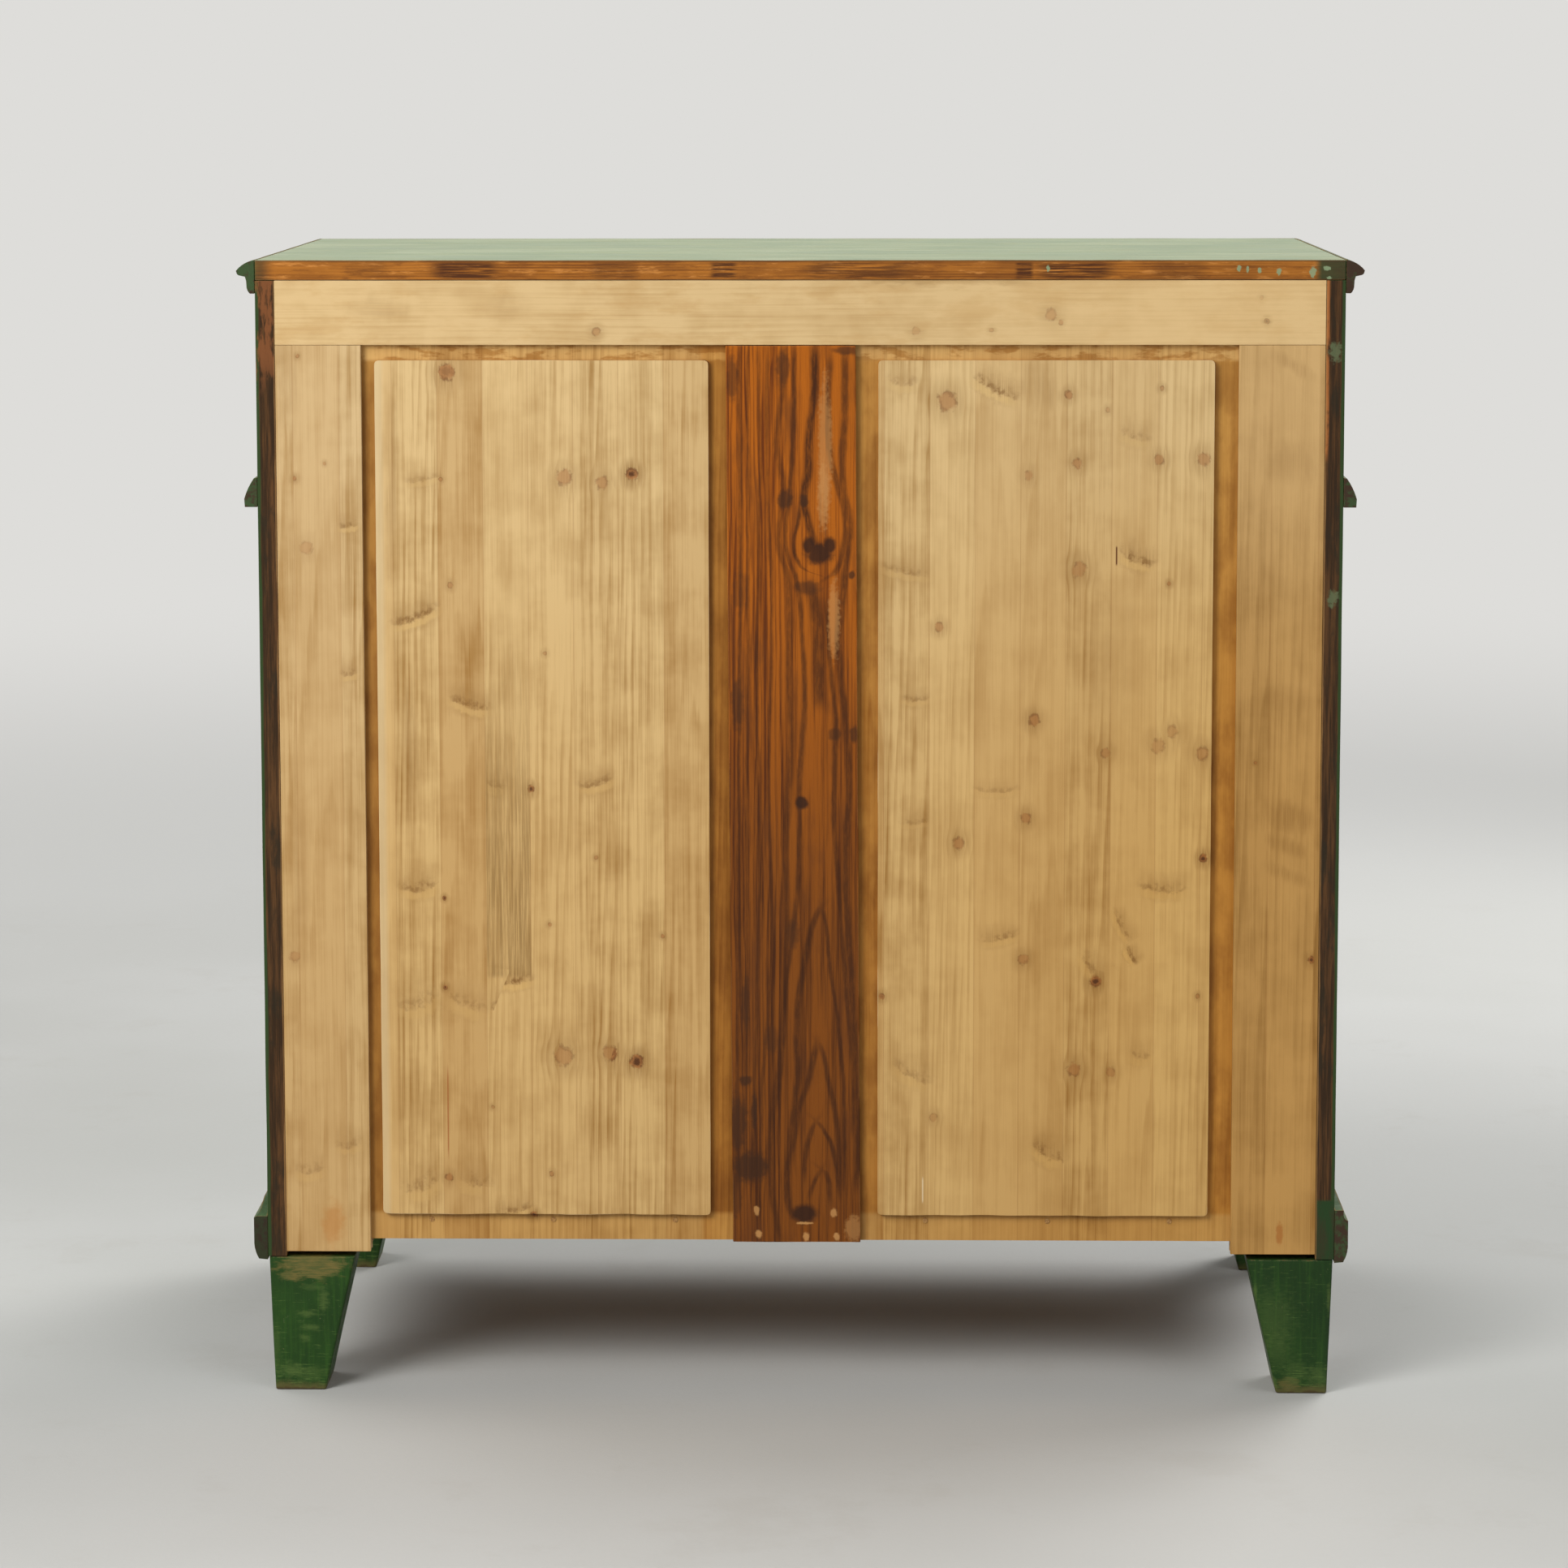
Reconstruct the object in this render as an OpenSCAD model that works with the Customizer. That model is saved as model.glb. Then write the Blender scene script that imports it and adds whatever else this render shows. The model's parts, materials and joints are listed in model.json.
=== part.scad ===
// Kitchen dresser base: a painted pine cupboard on four tapered feet, with two
// drawers over two panelled doors, and a framed back with two panels.
// The front faces -Y and +Z is up. The origin is on the floor, under the middle
// of the whole piece. Left and right are as seen from the front.

/* [Carcass] */
// Width over the two side boards
carcass_w = 1010; // [940:5:1200]
// Depth from the front posts' faces to the back edges of the side boards
carcass_d = 540; // [480:5:600]
// Height of the top surface above the floor
total_h = 1075; // [1040:5:1160]
// Thickness of the top board
top_t = 19; // [16:1:24]
// Thickness of the side boards
side_t = 18; // [15:1:22]
// Thickness of the bottom board
bottom_t = 19; // [15:1:22]
// Thickness of the shelf
shelf_t = 18; // [15:1:22]
// Height of the shelf's upper face above the floor
shelf_z = 470; // [400:5:520]
// Distance from the front posts' faces to the shelf's front edge
shelf_back = 62; // [50:1:90]
// Depth to which shelf and bottom board are housed in the side boards
housing = 6; // [3:1:9]

/* [Front frame] */
// Width of the front posts
post_w = 50; // [44:1:64]
// Thickness of the front posts and of the rails between them
post_t = 24; // [22:1:28]
// Height of the rail over the drawers
top_rail_h = 16; // [14:1:24]
// Width of the upright between the drawers
divider_w = 40; // [34:1:54]
// Thickness of the frame's tenons
tenon_t = 8; // [6:1:10]
// Length of the rails' tenons in the posts
tenon_l = 22; // [14:1:30]
// Shoulder above and below a rail's tenon
tenon_shoulder = 3; // [2:0.5:4]

/* [Mouldings] */
// Projection of the cornice
cornice_out = 17.3; // [12:0.1:24]
// Height of the cornice
cornice_h = 31.4; // [26:0.1:34]
// Projection of the waist moulding
waist_out = 12.5; // [8:0.5:18]
// Height of the waist moulding and of the rail behind it
waist_h = 28; // [24:1:36]
// Projection of the base moulding
base_out = 13; // [9:0.5:20]
// Height of the base moulding
base_h = 51; // [44:1:60]
// How far the base moulding hangs below the carcass
base_drop = 3; // [0:0.5:6]
// Length of the sloping break in the upper step of the right base moulding, at its back end
base_chip = 45; // [20:5:90]
// Depth of that break at the end of the moulding
base_chip_deep = 9; // [4:0.5:12]

/* [Back] */
// Thickness of the back frame
back_t = 18; // [16:1:22]
// Height of the back's top rail
back_rail_h = 60; // [45:1:80]
// Width of the back's outer stiles
back_stile_w = 80; // [65:1:100]
// Width of the dark middle stile
muntin_w = 121.5; // [100:0.5:140]
// Distance of the middle stile from the centre line, to the right
muntin_shift = 5.6; // [-10:0.1:10]
// How much further right the middle stile's upper end stands than its lower end
muntin_lean = 5; // [-8:0.1:8]
// Height of the outer stiles' lower ends above the feet
stile_lift = 5; // [2:0.5:8]
// Height of the middle stile's lower end above the feet
muntin_lift = 15; // [8:0.5:20]
// Height of the panels' lower edges above the feet
panel_lift = 16; // [10:0.5:20]
// Depth of the panels' raised fields below the frame's face
field_sink = 1; // [0.5:0.1:2]
// Depth of the panels' tongues below the frame's face
tongue_sink = 7; // [5:0.5:8]
// Thickness of the panels' tongues and width of the frame's grooves
tongue_t = 7; // [5:0.5:8]
// Depth of the grooves
groove_deep = 11; // [9:0.5:13]
// How far the tongues reach into the grooves
tongue_in = 7; // [6:0.5:8]
// Bare tongue beside the left outer stile
tongue_left = 22; // [8:0.5:30]
// Bare tongue beside the right outer stile
tongue_right = 12; // [8:0.5:30]
// Bare tongue beside the middle stile
tongue_mid = 18; // [10:0.5:26]
// Bare tongue under the top rail
tongue_top = 14; // [8:0.5:24]
// Bare tongue at the panels' lower edges
tongue_foot = 25.5; // [16:0.5:34]

/* [Feet] */
// Height of the feet
foot_h = 131; // [100:1:160]
// Width of a foot at its top
foot_top_w = 82; // [74:0.5:96]
// Width of a foot at the floor
foot_floor_w = 48.6; // [36:0.1:64]
// Depth of a foot at its top
foot_top_d = 72; // [66:0.5:90]
// Depth of a foot at the floor
foot_floor_d = 66; // [40:0.5:80]
// Taper of the outer faces
foot_taper = 4; // [0:0.5:10]
// Distance of a foot's outer faces inside the carcass faces
foot_inset = 0.8; // [0:0.1:3]
// Side of the square tenon on a foot
foot_tenon = 30; // [20:1:34]
// Length of the tenon on a foot
foot_tenon_l = 18; // [10:1:20]
// Length and width of the corner blocks
block_size = 76; // [68:1:90]

/* [Doors] */
// Thickness of the doors
door_t = 22; // [20:1:24]
// Width of the doors' stiles and top rails
door_stile_w = 65; // [60:1:80]
// Height of the doors' bottom rails
door_foot_h = 82; // [65:1:110]
// Clearance above and below the doors
door_clear = 2; // [1:0.5:4]
// Gap between the two doors
meet_gap = 3; // [2:0.5:5]
// Depth of the panel groove below a door's face
door_groove_y = 8; // [6:0.5:9]
// Width of the panel groove
door_groove_w = 7; // [5:0.5:8]
// Depth of the panel groove
door_groove_deep = 9; // [8:0.5:12]
// How far the door panels reach into their grooves
door_tongue_in = 7; // [5:0.5:7.5]
// Length of the door rails' tenons
door_tenon_l = 36; // [20:1:45]
// Distance of a door tenon from the door's outer edge
door_haunch = 14; // [8:1:20]
// Width of the bevel around a door panel
bevel_w = 30; // [15:1:45]
// Depth of the bevel
bevel_d = 5; // [2:0.5:5.5]
// Gap between the bevel and the door's frame
bevel_gap = 0.5; // [0.2:0.1:1.5]

/* [Hinges] */
// Gap between door and post, filled by the hinge leaves
hinge_gap = 3; // [2.6:0.1:4]
// Thickness of a hinge leaf
leaf_t = 1.2; // [0.8:0.1:1.2]
// Height of a hinge leaf
leaf_h = 63; // [54:1:75]
// Width of a hinge leaf inside the gap
leaf_w = 18; // [16:1:20]
// Outer radius of a hinge's knuckle
knuckle_r = 4; // [3.5:0.1:5]
// Radius of a hinge pin
hinge_pin_r = 2; // [1.5:0.1:2.2]
// Radial running clearance of pins in their bores
pin_clear = 0.06; // [0.02:0.01:0.1]
// Gap between two knuckles on one pin
knuckle_gap = 0.3; // [0.2:0.1:0.6]
// Height of a hinge pin's head
pin_head_h = 3; // [2:0.5:5]
// Distance of a hinge's middle from the door's end
hinge_in = 110; // [80:5:160]
// Length of a hinge screw
screw_l = 16; // [12:1:20]
// Radius of a hinge screw's shank
screw_r = 1.5; // [1.2:0.1:1.8]
// Radius of a hinge screw's head
screw_head_r = 3.2; // [2.6:0.1:3.6]

/* [Lock and key] */
// Height of the keyhole above the floor
key_z = 600; // [560:5:640]
// Distance of the keyhole from the right door's edge
key_in = 35; // [32:1:40]
// Width of the lock case
case_w = 60; // [58:1:64]
// Height of the lock case
case_h = 56; // [54:1:70]
// Thickness of the lock case
case_t = 12; // [11:0.5:14]
// Wall of the lock case
case_wall = 2; // [1:0.5:2.5]
// Radius of the space in which the key's bit turns
chamber_r = 12; // [11.6:0.1:13]
// Height of the bolt
bolt_h = 9; // [7:0.5:10]
// Thickness of the bolt
bolt_t = 7; // [5:0.5:7.5]
// Length of the bolt
bolt_l = 46; // [38:1:47]
// Clearance round the sliding bolt
bolt_clear = 0.15; // [0.1:0.05:0.3]
// Distance of the bolt from the door's back
bolt_lift = 2; // [1.5:0.1:2.3]
// Radius of the key's shank
key_r = 3; // [2.4:0.1:3.2]
// Clearance round the key in its hole
key_clear = 0.3; // [0.2:0.05:0.5]
// Reach of the key's bit from the key's axis
bit_reach = 11; // [9:0.5:11.2]
// Thickness of the key's bit
bit_t = 2.4; // [2:0.1:3]
// Distance from the door's face to the far edge of the key's bow
key_reach = 38; // [34:1:46]
// Middle radius of the key's bow
bow_r = 9; // [7:0.5:11]
// Thickness radius of the key's bow
bow_wire_r = 2; // [1.5:0.1:2.5]
// Thickness of the keyhole plate
plate_t = 1.5; // [1:0.1:2]
// Width of the keyhole plate
plate_w = 24; // [18:1:32]
// Height of the keyhole plate
plate_h = 44; // [38:1:60]

/* [Turn button] */
// Distance of the turn button's pivot from the left door's edge
button_in = 51; // [50:0.5:54]
// Distance of the pivot below the left door's upper edge
button_down = 28; // [22:1:32]
// Length of the turn button from its pivot to its tip
button_l = 46; // [42:1:52]
// Width of the turn button
button_w = 20; // [16:1:22]
// Thickness of the turn button
button_t = 9; // [7:0.5:12]
// Radius of the turn button's screw
button_pin_r = 2.2; // [1.8:0.1:3]

/* [Drawers] */
// Height of the drawers' openings
drawer_h = 167; // [140:1:185]
// Free depth between the closed drawers and the back
drawer_room = 34; // [30:1:60]
// Thickness of the drawer fronts
drawer_front_t = 20; // [18:1:22]
// Thickness of the drawers' sides and backs
drawer_side_t = 12; // [10:0.5:15]
// Thickness of the drawers' bottoms
drawer_bottom_t = 7; // [5:0.5:9]
// Clearance round a drawer front
drawer_clear = 1.5; // [1:0.1:2.5]
// Clearance of a drawer's sides over and beside the runners
runner_clear = 0.5; // [0.2:0.1:0.9]
// Height of a drawer's bottom above the sides' lower edges
drawer_bottom_up = 8; // [6:0.5:12]
// Depth of the grooves that hold a drawer's bottom
drawer_groove = 5; // [3:0.5:7]
// Thickness left in front of the drawer sides' front ends
drawer_lap = 8; // [6:0.5:10]
// How much lower a drawer's sides are than its front
drawer_side_down = 6; // [3:1:20]
// How much lower a drawer's back is than its sides
drawer_back_down = 8; // [0:1:20]
// Height of the drawer runners
runner_h = 22; // [18:1:24]
// How far a runner reaches under a drawer's side beyond it
runner_over = 2; // [0:0.5:6]
// Height of the guides beside the drawers
guide_h = 20; // [12:1:30]
// Distance from the drawer front's face to the end of the knob
knob_reach = 30; // [24:1:37]
// Largest radius of a knob
knob_r = 16; // [12:0.5:22]
// Radius of a knob's peg
peg_r = 6; // [4:0.5:8]

/* [Nails] */
// Radius of a nail's shank
nail_r = 1.1; // [0.8:0.1:1.5]
// Radius of a nail's head
nail_head_r = 2.4; // [1.8:0.1:3]
// Thickness of a nail's head
nail_head_t = 0.6; // [0.4:0.1:1]
// Length of a nail
nail_l = 28; // [24:1:32]
// Number of nails in the front base moulding
nails_front = 5; // [3:1:9]
// Number of nails in each side base moulding
nails_side = 3; // [2:1:5]
// Number of nails in each back panel
nails_panel = 3; // [2:1:5]

/* [Hidden] */
$fn = 48;

// Colours
green_paint = [0.20, 0.36, 0.17];
top_green = [0.52, 0.62, 0.44];
edge_brown = [0.33, 0.22, 0.14];
new_pine = [0.80, 0.67, 0.45];
new_pine_b = [0.77, 0.63, 0.41];
old_pine = [0.46, 0.27, 0.12];
inside_pine = [0.66, 0.52, 0.34];
iron = [0.24, 0.22, 0.20];
worn_iron = [0.40, 0.37, 0.33];
brass = [0.62, 0.50, 0.26];

// How far a cutter passes through a face
over = 1;

// Left and right
half_w = carcass_w / 2;
side_in = half_w - side_t;
post_in = half_w - post_w;

// Front and back
front_reach = max(cornice_out, knob_reach, key_reach);
y_front = (front_reach - carcass_d) / 2;
y_back = y_front + carcass_d;
frame_y = y_front + post_t;
back_in = y_back - back_t;
tenon_y0 = y_front + (post_t - tenon_t) / 2;
tenon_y1 = tenon_y0 + tenon_t;
shelf_y = y_front + shelf_back;

// Heights
top_under = total_h - top_t;
drawer_top = top_under - top_rail_h;
waist_top = drawer_top - drawer_h;
waist_z = waist_top - waist_h;
base_top = foot_h - base_drop + base_h;
bottom_z = base_top - bottom_t;

// Back frame
tongue_y1 = y_back - tongue_sink;
tongue_y0 = tongue_y1 - tongue_t;
field_y = y_back - field_sink;
stile_in = side_in - back_stile_w;
stile_z = foot_h + stile_lift;
muntin_z = foot_h + muntin_lift;
panel_z = foot_h + panel_lift;
rail_z = top_under - back_rail_h;
muntin_mid_z = (rail_z + muntin_z) / 2;
muntin_slope = muntin_lean / (rail_z - muntin_z);

// Feet
foot_tenon_at = post_t + tenon_shoulder + foot_tenon / 2;

// Doors
door_x0 = meet_gap / 2;
door_x1 = post_in - hinge_gap;
door_z0 = base_top + door_clear;
door_z1 = waist_z - door_clear;
door_back = y_front + door_t;
door_groove_0 = y_front + door_groove_y;
door_groove_1 = door_groove_0 + door_groove_w;
panel_x0 = door_x0 + door_stile_w;
panel_x1 = door_x1 - door_stile_w;
door_panel_z0 = door_z0 + door_foot_h;
door_panel_z1 = door_z1 - door_stile_w;

// Hinges
pin_x = post_in - hinge_gap / 2;
pin_y = y_front - knuckle_r;
leaf_y0 = y_front + knuckle_gap * 2;
leaf_y1 = y_front + leaf_w;
screw_y = (leaf_y0 + leaf_y1) / 2;
screw_step = leaf_h / 3;
hinge_zs = [door_z0 + hinge_in, door_z1 - hinge_in];

// Lock
key_x = door_x0 + key_in;
case_x1 = door_x0 + case_w;
case_y1 = door_back + case_t;
bolt_z0 = key_z + chamber_r + bolt_clear * 2;
bolt_z1 = bolt_z0 + bolt_h;
bolt_y0 = door_back + bolt_lift;
bolt_y1 = bolt_y0 + bolt_t;
bolt_x0 = door_x0 + bolt_clear;
bolt_x1 = bolt_x0 + bolt_l;
case_z0 = key_z - case_h / 2;
case_z1 = key_z + case_h / 2;
key_hole_r = key_r + key_clear;
bit_y0 = door_back + case_wall;
bit_y1 = bit_y0 + case_t - 3 * case_wall;
key_y1 = case_y1 - case_wall - key_clear;
lock_screw_in = 6;
lock_screw_head_t = 1.4;

// Turn button, between the left door and the back of the drawer rail
button_x = door_x0 + button_in;
button_z = door_z1 - button_down;
button_foot_y = door_back + runner_clear;
button_y0 = frame_y + runner_clear;
button_y1 = button_y0 + button_t;
button_head_t = 2.5;
button_screw_l = 14;

// Drawers
drawer_x0 = divider_w / 2 + drawer_clear;
drawer_x1 = post_in - drawer_clear;
drawer_z0 = waist_top + drawer_clear;
drawer_z1 = drawer_top - drawer_clear;
drawer_front_y = y_front + drawer_front_t;
drawer_end_y = back_in - drawer_room;
drawer_side_z0 = waist_top + runner_clear;
drawer_side_z1 = drawer_z1 - drawer_side_down;
drawer_floor_z = drawer_side_z0 + drawer_bottom_up;
runner_z = waist_top - runner_h;
knob_x = (drawer_x0 + drawer_x1) / 2;
knob_z = (drawer_z0 + drawer_z1) / 2;

// Building blocks

// Box between two opposite corners
module block(a, b) {
    translate(a) cube(b - a);
}

// Outline in X and Z, made solid from y0 to y1
module xz_plate(points, y0, y1) {
    translate([0, y1, 0]) rotate([90, 0, 0]) linear_extrude(y1 - y0) polygon(points);
}

// Outline in Y and Z, made solid from x0 to x1
module yz_plate(points, x0, x1) {
    translate([x0, 0, 0]) rotate([90, 0, 90]) linear_extrude(x1 - x0) polygon(points);
}

// Round bar along Y from y0 to y1
module y_bar(x, z, r, y0, y1) {
    translate([x, y1, z]) rotate([90, 0, 0]) cylinder(r = r, h = y1 - y0);
}

// Shapes are drawn on the right, and mirrored for the left when s is -1
module on_side(s) {
    if (s < 0) mirror([1, 0, 0]) children();
    else children();
}

// Shapes are drawn at the back, and mirrored for the front when e is -1
module on_end(e) {
    if (e < 0) translate([0, y_front + y_back, 0]) mirror([0, 1, 0]) children();
    else children();
}

// Points of an arc from a to b that bulges by sag to the left of its way
function arc(a, b, sag, n = 6) =
    let (
        d = b - a,
        c = norm(d),
        r = c * c / (8 * sag) + sag / 2,
        u = d / c,
        v = [-u[1], u[0]],
        m = (a + b) / 2 - v * (r - sag),
        t = asin(c / (2 * r))
    )
    [for (i = [0 : n]) m + r * (v * cos(t * (2 * i / n - 1)) + u * sin(t * (2 * i / n - 1)))];

// Moulding profiles: how far out, and how far below the upper edge

function cornice_profile() = concat(
    arc([0, 0], [cornice_out, -0.325 * cornice_h], 0.11 * cornice_out),
    arc([0.97 * cornice_out, -0.36 * cornice_h], [0.84 * cornice_out, -0.46 * cornice_h], 0.6, 3),
    [[0.51 * cornice_out, -0.5 * cornice_h], [0.45 * cornice_out, -0.62 * cornice_h]],
    arc([0.43 * cornice_out, -0.82 * cornice_h], [0.26 * cornice_out, -cornice_h], 0.5, 3),
    [[0, -cornice_h]]);

function waist_profile() = concat(
    [[0, 0]],
    arc([0.26 * waist_out, -0.03 * waist_h], [waist_out, -0.72 * waist_h], 0.9),
    [[0.96 * waist_out, -waist_h], [0, -waist_h]]);

function base_profile() = concat(
    [[0, 0], [0.66 * base_out, 0]],
    arc([0.67 * base_out, -0.11 * base_h], [base_out, -0.2 * base_h], -0.8, 4),
    arc([base_out, -0.62 * base_h], [0.66 * base_out, -0.985 * base_h], 1.4, 5),
    [[0, -base_h]]);

// Front length of a moulding, mitred at both ends
module moulding_front(profile, z_top) {
    reach = base_out + cornice_out + waist_out;
    intersection() {
        yz_plate([for (p = profile) [y_front - p[0], z_top + p[1]]], -half_w - reach, half_w + reach);
        linear_extrude(total_h + reach) polygon([
            [-half_w - reach, y_front - reach],
            [half_w + reach, y_front - reach],
            [half_w - reach, y_front + reach],
            [reach - half_w, y_front + reach]]);
    }
}

// Side length of a moulding, mitred at the front and cut square at the back
module moulding_return(s, profile, z_top) {
    reach = base_out + cornice_out + waist_out;
    on_side(s) intersection() {
        xz_plate([for (p = profile) [half_w + p[0], z_top + p[1]]], y_front - reach, y_back);
        linear_extrude(total_h + reach) polygon([
            [half_w + reach, y_front - reach],
            [half_w + reach, y_back + over],
            [half_w - reach, y_back + over],
            [half_w - reach, y_front + reach]]);
    }
}

// Carcass

module top_board() {
    color(top_green)
    block([-half_w, y_front, top_under], [half_w, y_back, total_h]);
}

module cornice_front() {
    color(green_paint) moulding_front(cornice_profile(), total_h);
}

module cornice_returns() {
    color(green_paint)
    for (s = [-1, 1]) moulding_return(s, cornice_profile(), total_h);
}

module waist_moulding_front() {
    color(green_paint) moulding_front(waist_profile(), waist_top);
}

module waist_moulding_returns() {
    color(green_paint)
    for (s = [-1, 1]) moulding_return(s, waist_profile(), waist_top);
}

module base_moulding_front() {
    color(green_paint) moulding_front(base_profile(), base_top);
}

// The upper step of the right length is broken off in a slope at the back
module base_moulding_returns() {
    color(green_paint) {
        moulding_return(-1, base_profile(), base_top);
        difference() {
            moulding_return(1, base_profile(), base_top);
            yz_plate([
                [y_back - base_chip, base_top],
                [y_back, base_top - base_chip_deep],
                [y_back + over, base_top - base_chip_deep],
                [y_back + over, base_top + over],
                [y_back - base_chip, base_top + over]], half_w - over, half_w + base_out + over);
        }
    }
}

module side_board(s) {
    color(green_paint)
    on_side(s) difference() {
        block([side_in, frame_y, foot_h], [half_w, y_back, top_under]);
        block([side_in - over, frame_y - over, bottom_z], [side_in + housing, back_in, base_top]);
        block([side_in - over, shelf_y, shelf_z - shelf_t], [side_in + housing, back_in, shelf_z]);
    }
}

module bottom_board() {
    color(inside_pine)
    block([-side_in - housing, frame_y, bottom_z], [side_in + housing, back_in, base_top]);
}

module shelf() {
    color(inside_pine)
    block([-side_in - housing, shelf_y, shelf_z - shelf_t], [side_in + housing, back_in, shelf_z]);
}

// Tenons of a front rail that lies from z0 to z1, drawn inwards by back_off
module rail_tenons(z0, z1, back_off) {
    for (s = [-1, 1]) on_side(s)
        block([post_in - back_off, tenon_y0, z0 + tenon_shoulder],
              [post_in + tenon_l, tenon_y1, z1 - tenon_shoulder]);
}

module front_post(s) {
    color(green_paint)
    difference() {
        on_side(s) block([post_in, y_front, foot_h], [half_w, frame_y, top_under]);
        rail_tenons(foot_h, base_top, over);
        rail_tenons(waist_z, waist_top, over);
        rail_tenons(drawer_top, top_under, over);
    }
}

// Upright tenon of the divider at its lower and upper end
module divider_tenons() {
    reach = top_rail_h / 2;
    block([tenon_shoulder * 2 - divider_w / 2, tenon_y0, waist_top - reach],
          [divider_w / 2 - tenon_shoulder * 2, tenon_y1, drawer_top + reach]);
}

module front_rail(z0, z1) {
    block([-post_in, y_front, z0], [post_in, frame_y, z1]);
    rail_tenons(z0, z1, tenon_l);
}

module front_top_rail() {
    color(green_paint)
    difference() {
        front_rail(drawer_top, top_under);
        divider_tenons();
    }
}

module drawer_rail() {
    color(green_paint)
    difference() {
        front_rail(waist_z, waist_top);
        divider_tenons();
    }
}

module front_bottom_rail() {
    color(green_paint) front_rail(foot_h, base_top);
}

module drawer_divider() {
    color(green_paint) {
        block([-divider_w / 2, y_front, waist_top], [divider_w / 2, frame_y, drawer_top]);
        divider_tenons();
    }
}

// Runners under the drawers' sides, with guides beside them and a stop behind
module drawer_runners() {
    side_x = drawer_x1 - drawer_side_t;
    mid_x = drawer_x0 + drawer_side_t;
    stop_y = drawer_end_y + runner_clear;
    color(inside_pine) {
        for (s = [-1, 1]) on_side(s) {
            block([side_x - runner_over, frame_y, runner_z], [side_in, back_in, waist_top]);
            block([drawer_x1 + runner_clear, frame_y, runner_z], [side_in, back_in, waist_top + guide_h]);
            block([side_x, stop_y, runner_z], [side_in, back_in, waist_top + guide_h]);
        }
        block([-mid_x - runner_over, frame_y, runner_z], [mid_x + runner_over, back_in, waist_top]);
        block([runner_clear - drawer_x0, frame_y, runner_z],
              [drawer_x0 - runner_clear, back_in, waist_top + guide_h]);
        block([-mid_x, stop_y, runner_z], [mid_x, back_in, waist_top + guide_h]);
    }
}

// Back

// Edge of the middle stile at height z, on its left when s is -1
function muntin_x(z, s) =
    muntin_shift + (z - muntin_mid_z) * muntin_slope + s * muntin_w / 2;

module back_top_rail() {
    color(new_pine)
    difference() {
        block([-side_in, back_in, rail_z], [side_in, y_back, top_under]);
        block([-side_in - over, tongue_y0, rail_z - over], [side_in + over, tongue_y1, rail_z + groove_deep]);
    }
}

module back_stile(s) {
    color(new_pine)
    on_side(s) difference() {
        union() {
            block([stile_in, back_in, stile_z], [side_in, y_back, rail_z]);
            block([stile_in, tongue_y0, stile_z], [side_in, tongue_y1, rail_z + tongue_in]);
        }
        block([stile_in - over, tongue_y0, stile_z - over],
              [stile_in + groove_deep, tongue_y1, rail_z + groove_deep]);
    }
}

// Leaning strip of the middle stile between two offsets from its edges
module muntin_strip(s0, d0, s1, d1, y0, y1, z0, z1) {
    xz_plate([
        [muntin_x(z0, s0) + d0, z0],
        [muntin_x(z0, s1) + d1, z0],
        [muntin_x(z1, s1) + d1, z1],
        [muntin_x(z1, s0) + d0, z1]], y0, y1);
}

module back_muntin() {
    top = rail_z + tongue_in;
    low = muntin_z - over;
    high = top + over;
    color(old_pine)
    difference() {
        union() {
            muntin_strip(-1, 0, 1, 0, back_in, y_back, muntin_z, rail_z);
            muntin_strip(-1, 0, 1, 0, tongue_y0, tongue_y1, muntin_z, top);
        }
        muntin_strip(-1, -over, -1, groove_deep, tongue_y0, tongue_y1, low, high);
        muntin_strip(1, -groove_deep, 1, over, tongue_y0, tongue_y1, low, high);
    }
}

// A panel's field lies between x0, beside the outer stile, and x1
module back_panel(s) {
    x0 = s * (stile_in - (s < 0 ? tongue_left : tongue_right));
    x1 = muntin_x(muntin_mid_z, s) + s * tongue_mid;
    left = min(x0, x1);
    right = max(x0, x1);
    z1 = rail_z - tongue_top;
    tongue_z1 = rail_z + tongue_in;
    stile_x = s * (stile_in + tongue_in);
    color(new_pine_b) {
        xz_plate([
            [stile_x, panel_z],
            [stile_x, tongue_z1],
            [muntin_x(tongue_z1, s) - s * tongue_in, tongue_z1],
            [muntin_x(panel_z, s) - s * tongue_in, panel_z]], tongue_y0, tongue_y1);
        block([left, back_in, panel_z], [right, tongue_y1, z1]);
        block([left, tongue_y0, panel_z + tongue_foot], [right, field_y, z1]);
    }
}

// Feet

// Outline that narrows downwards, from its outer edge at the top
function taper(outer, top, floor) = [
    [outer, foot_h],
    [outer - foot_taper, 0],
    [outer - foot_taper - floor, 0],
    [outer - top, foot_h]];

module foot_tenon_block(back_off) {
    x = half_w - foot_tenon_at;
    y = y_back - foot_tenon_at;
    r = foot_tenon / 2;
    block([x - r, y - r, foot_h - back_off], [x + r, y + r, foot_h + foot_tenon_l]);
}

module foot(s, e) {
    color(green_paint)
    on_side(s) on_end(e) {
        intersection() {
            xz_plate(taper(half_w - foot_inset, foot_top_w, foot_floor_w),
                     y_back - 2 * foot_top_d, y_back + over);
            yz_plate(taper(y_back - foot_inset, foot_top_d, foot_floor_d),
                     half_w - 2 * foot_top_w, half_w + over);
        }
        foot_tenon_block(over);
    }
}

module corner_blocks() {
    color(inside_pine)
    for (s = [-1, 1]) on_side(s) {
        on_end(1) difference() {
            block([side_in - block_size, back_in - block_size, foot_h], [side_in, back_in, bottom_z]);
            foot_tenon_block(over);
        }
        on_end(-1) difference() {
            block([side_in - block_size, y_back - post_t - block_size, foot_h],
                  [side_in, y_back - post_t, bottom_z]);
            foot_tenon_block(over);
        }
    }
}

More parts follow.
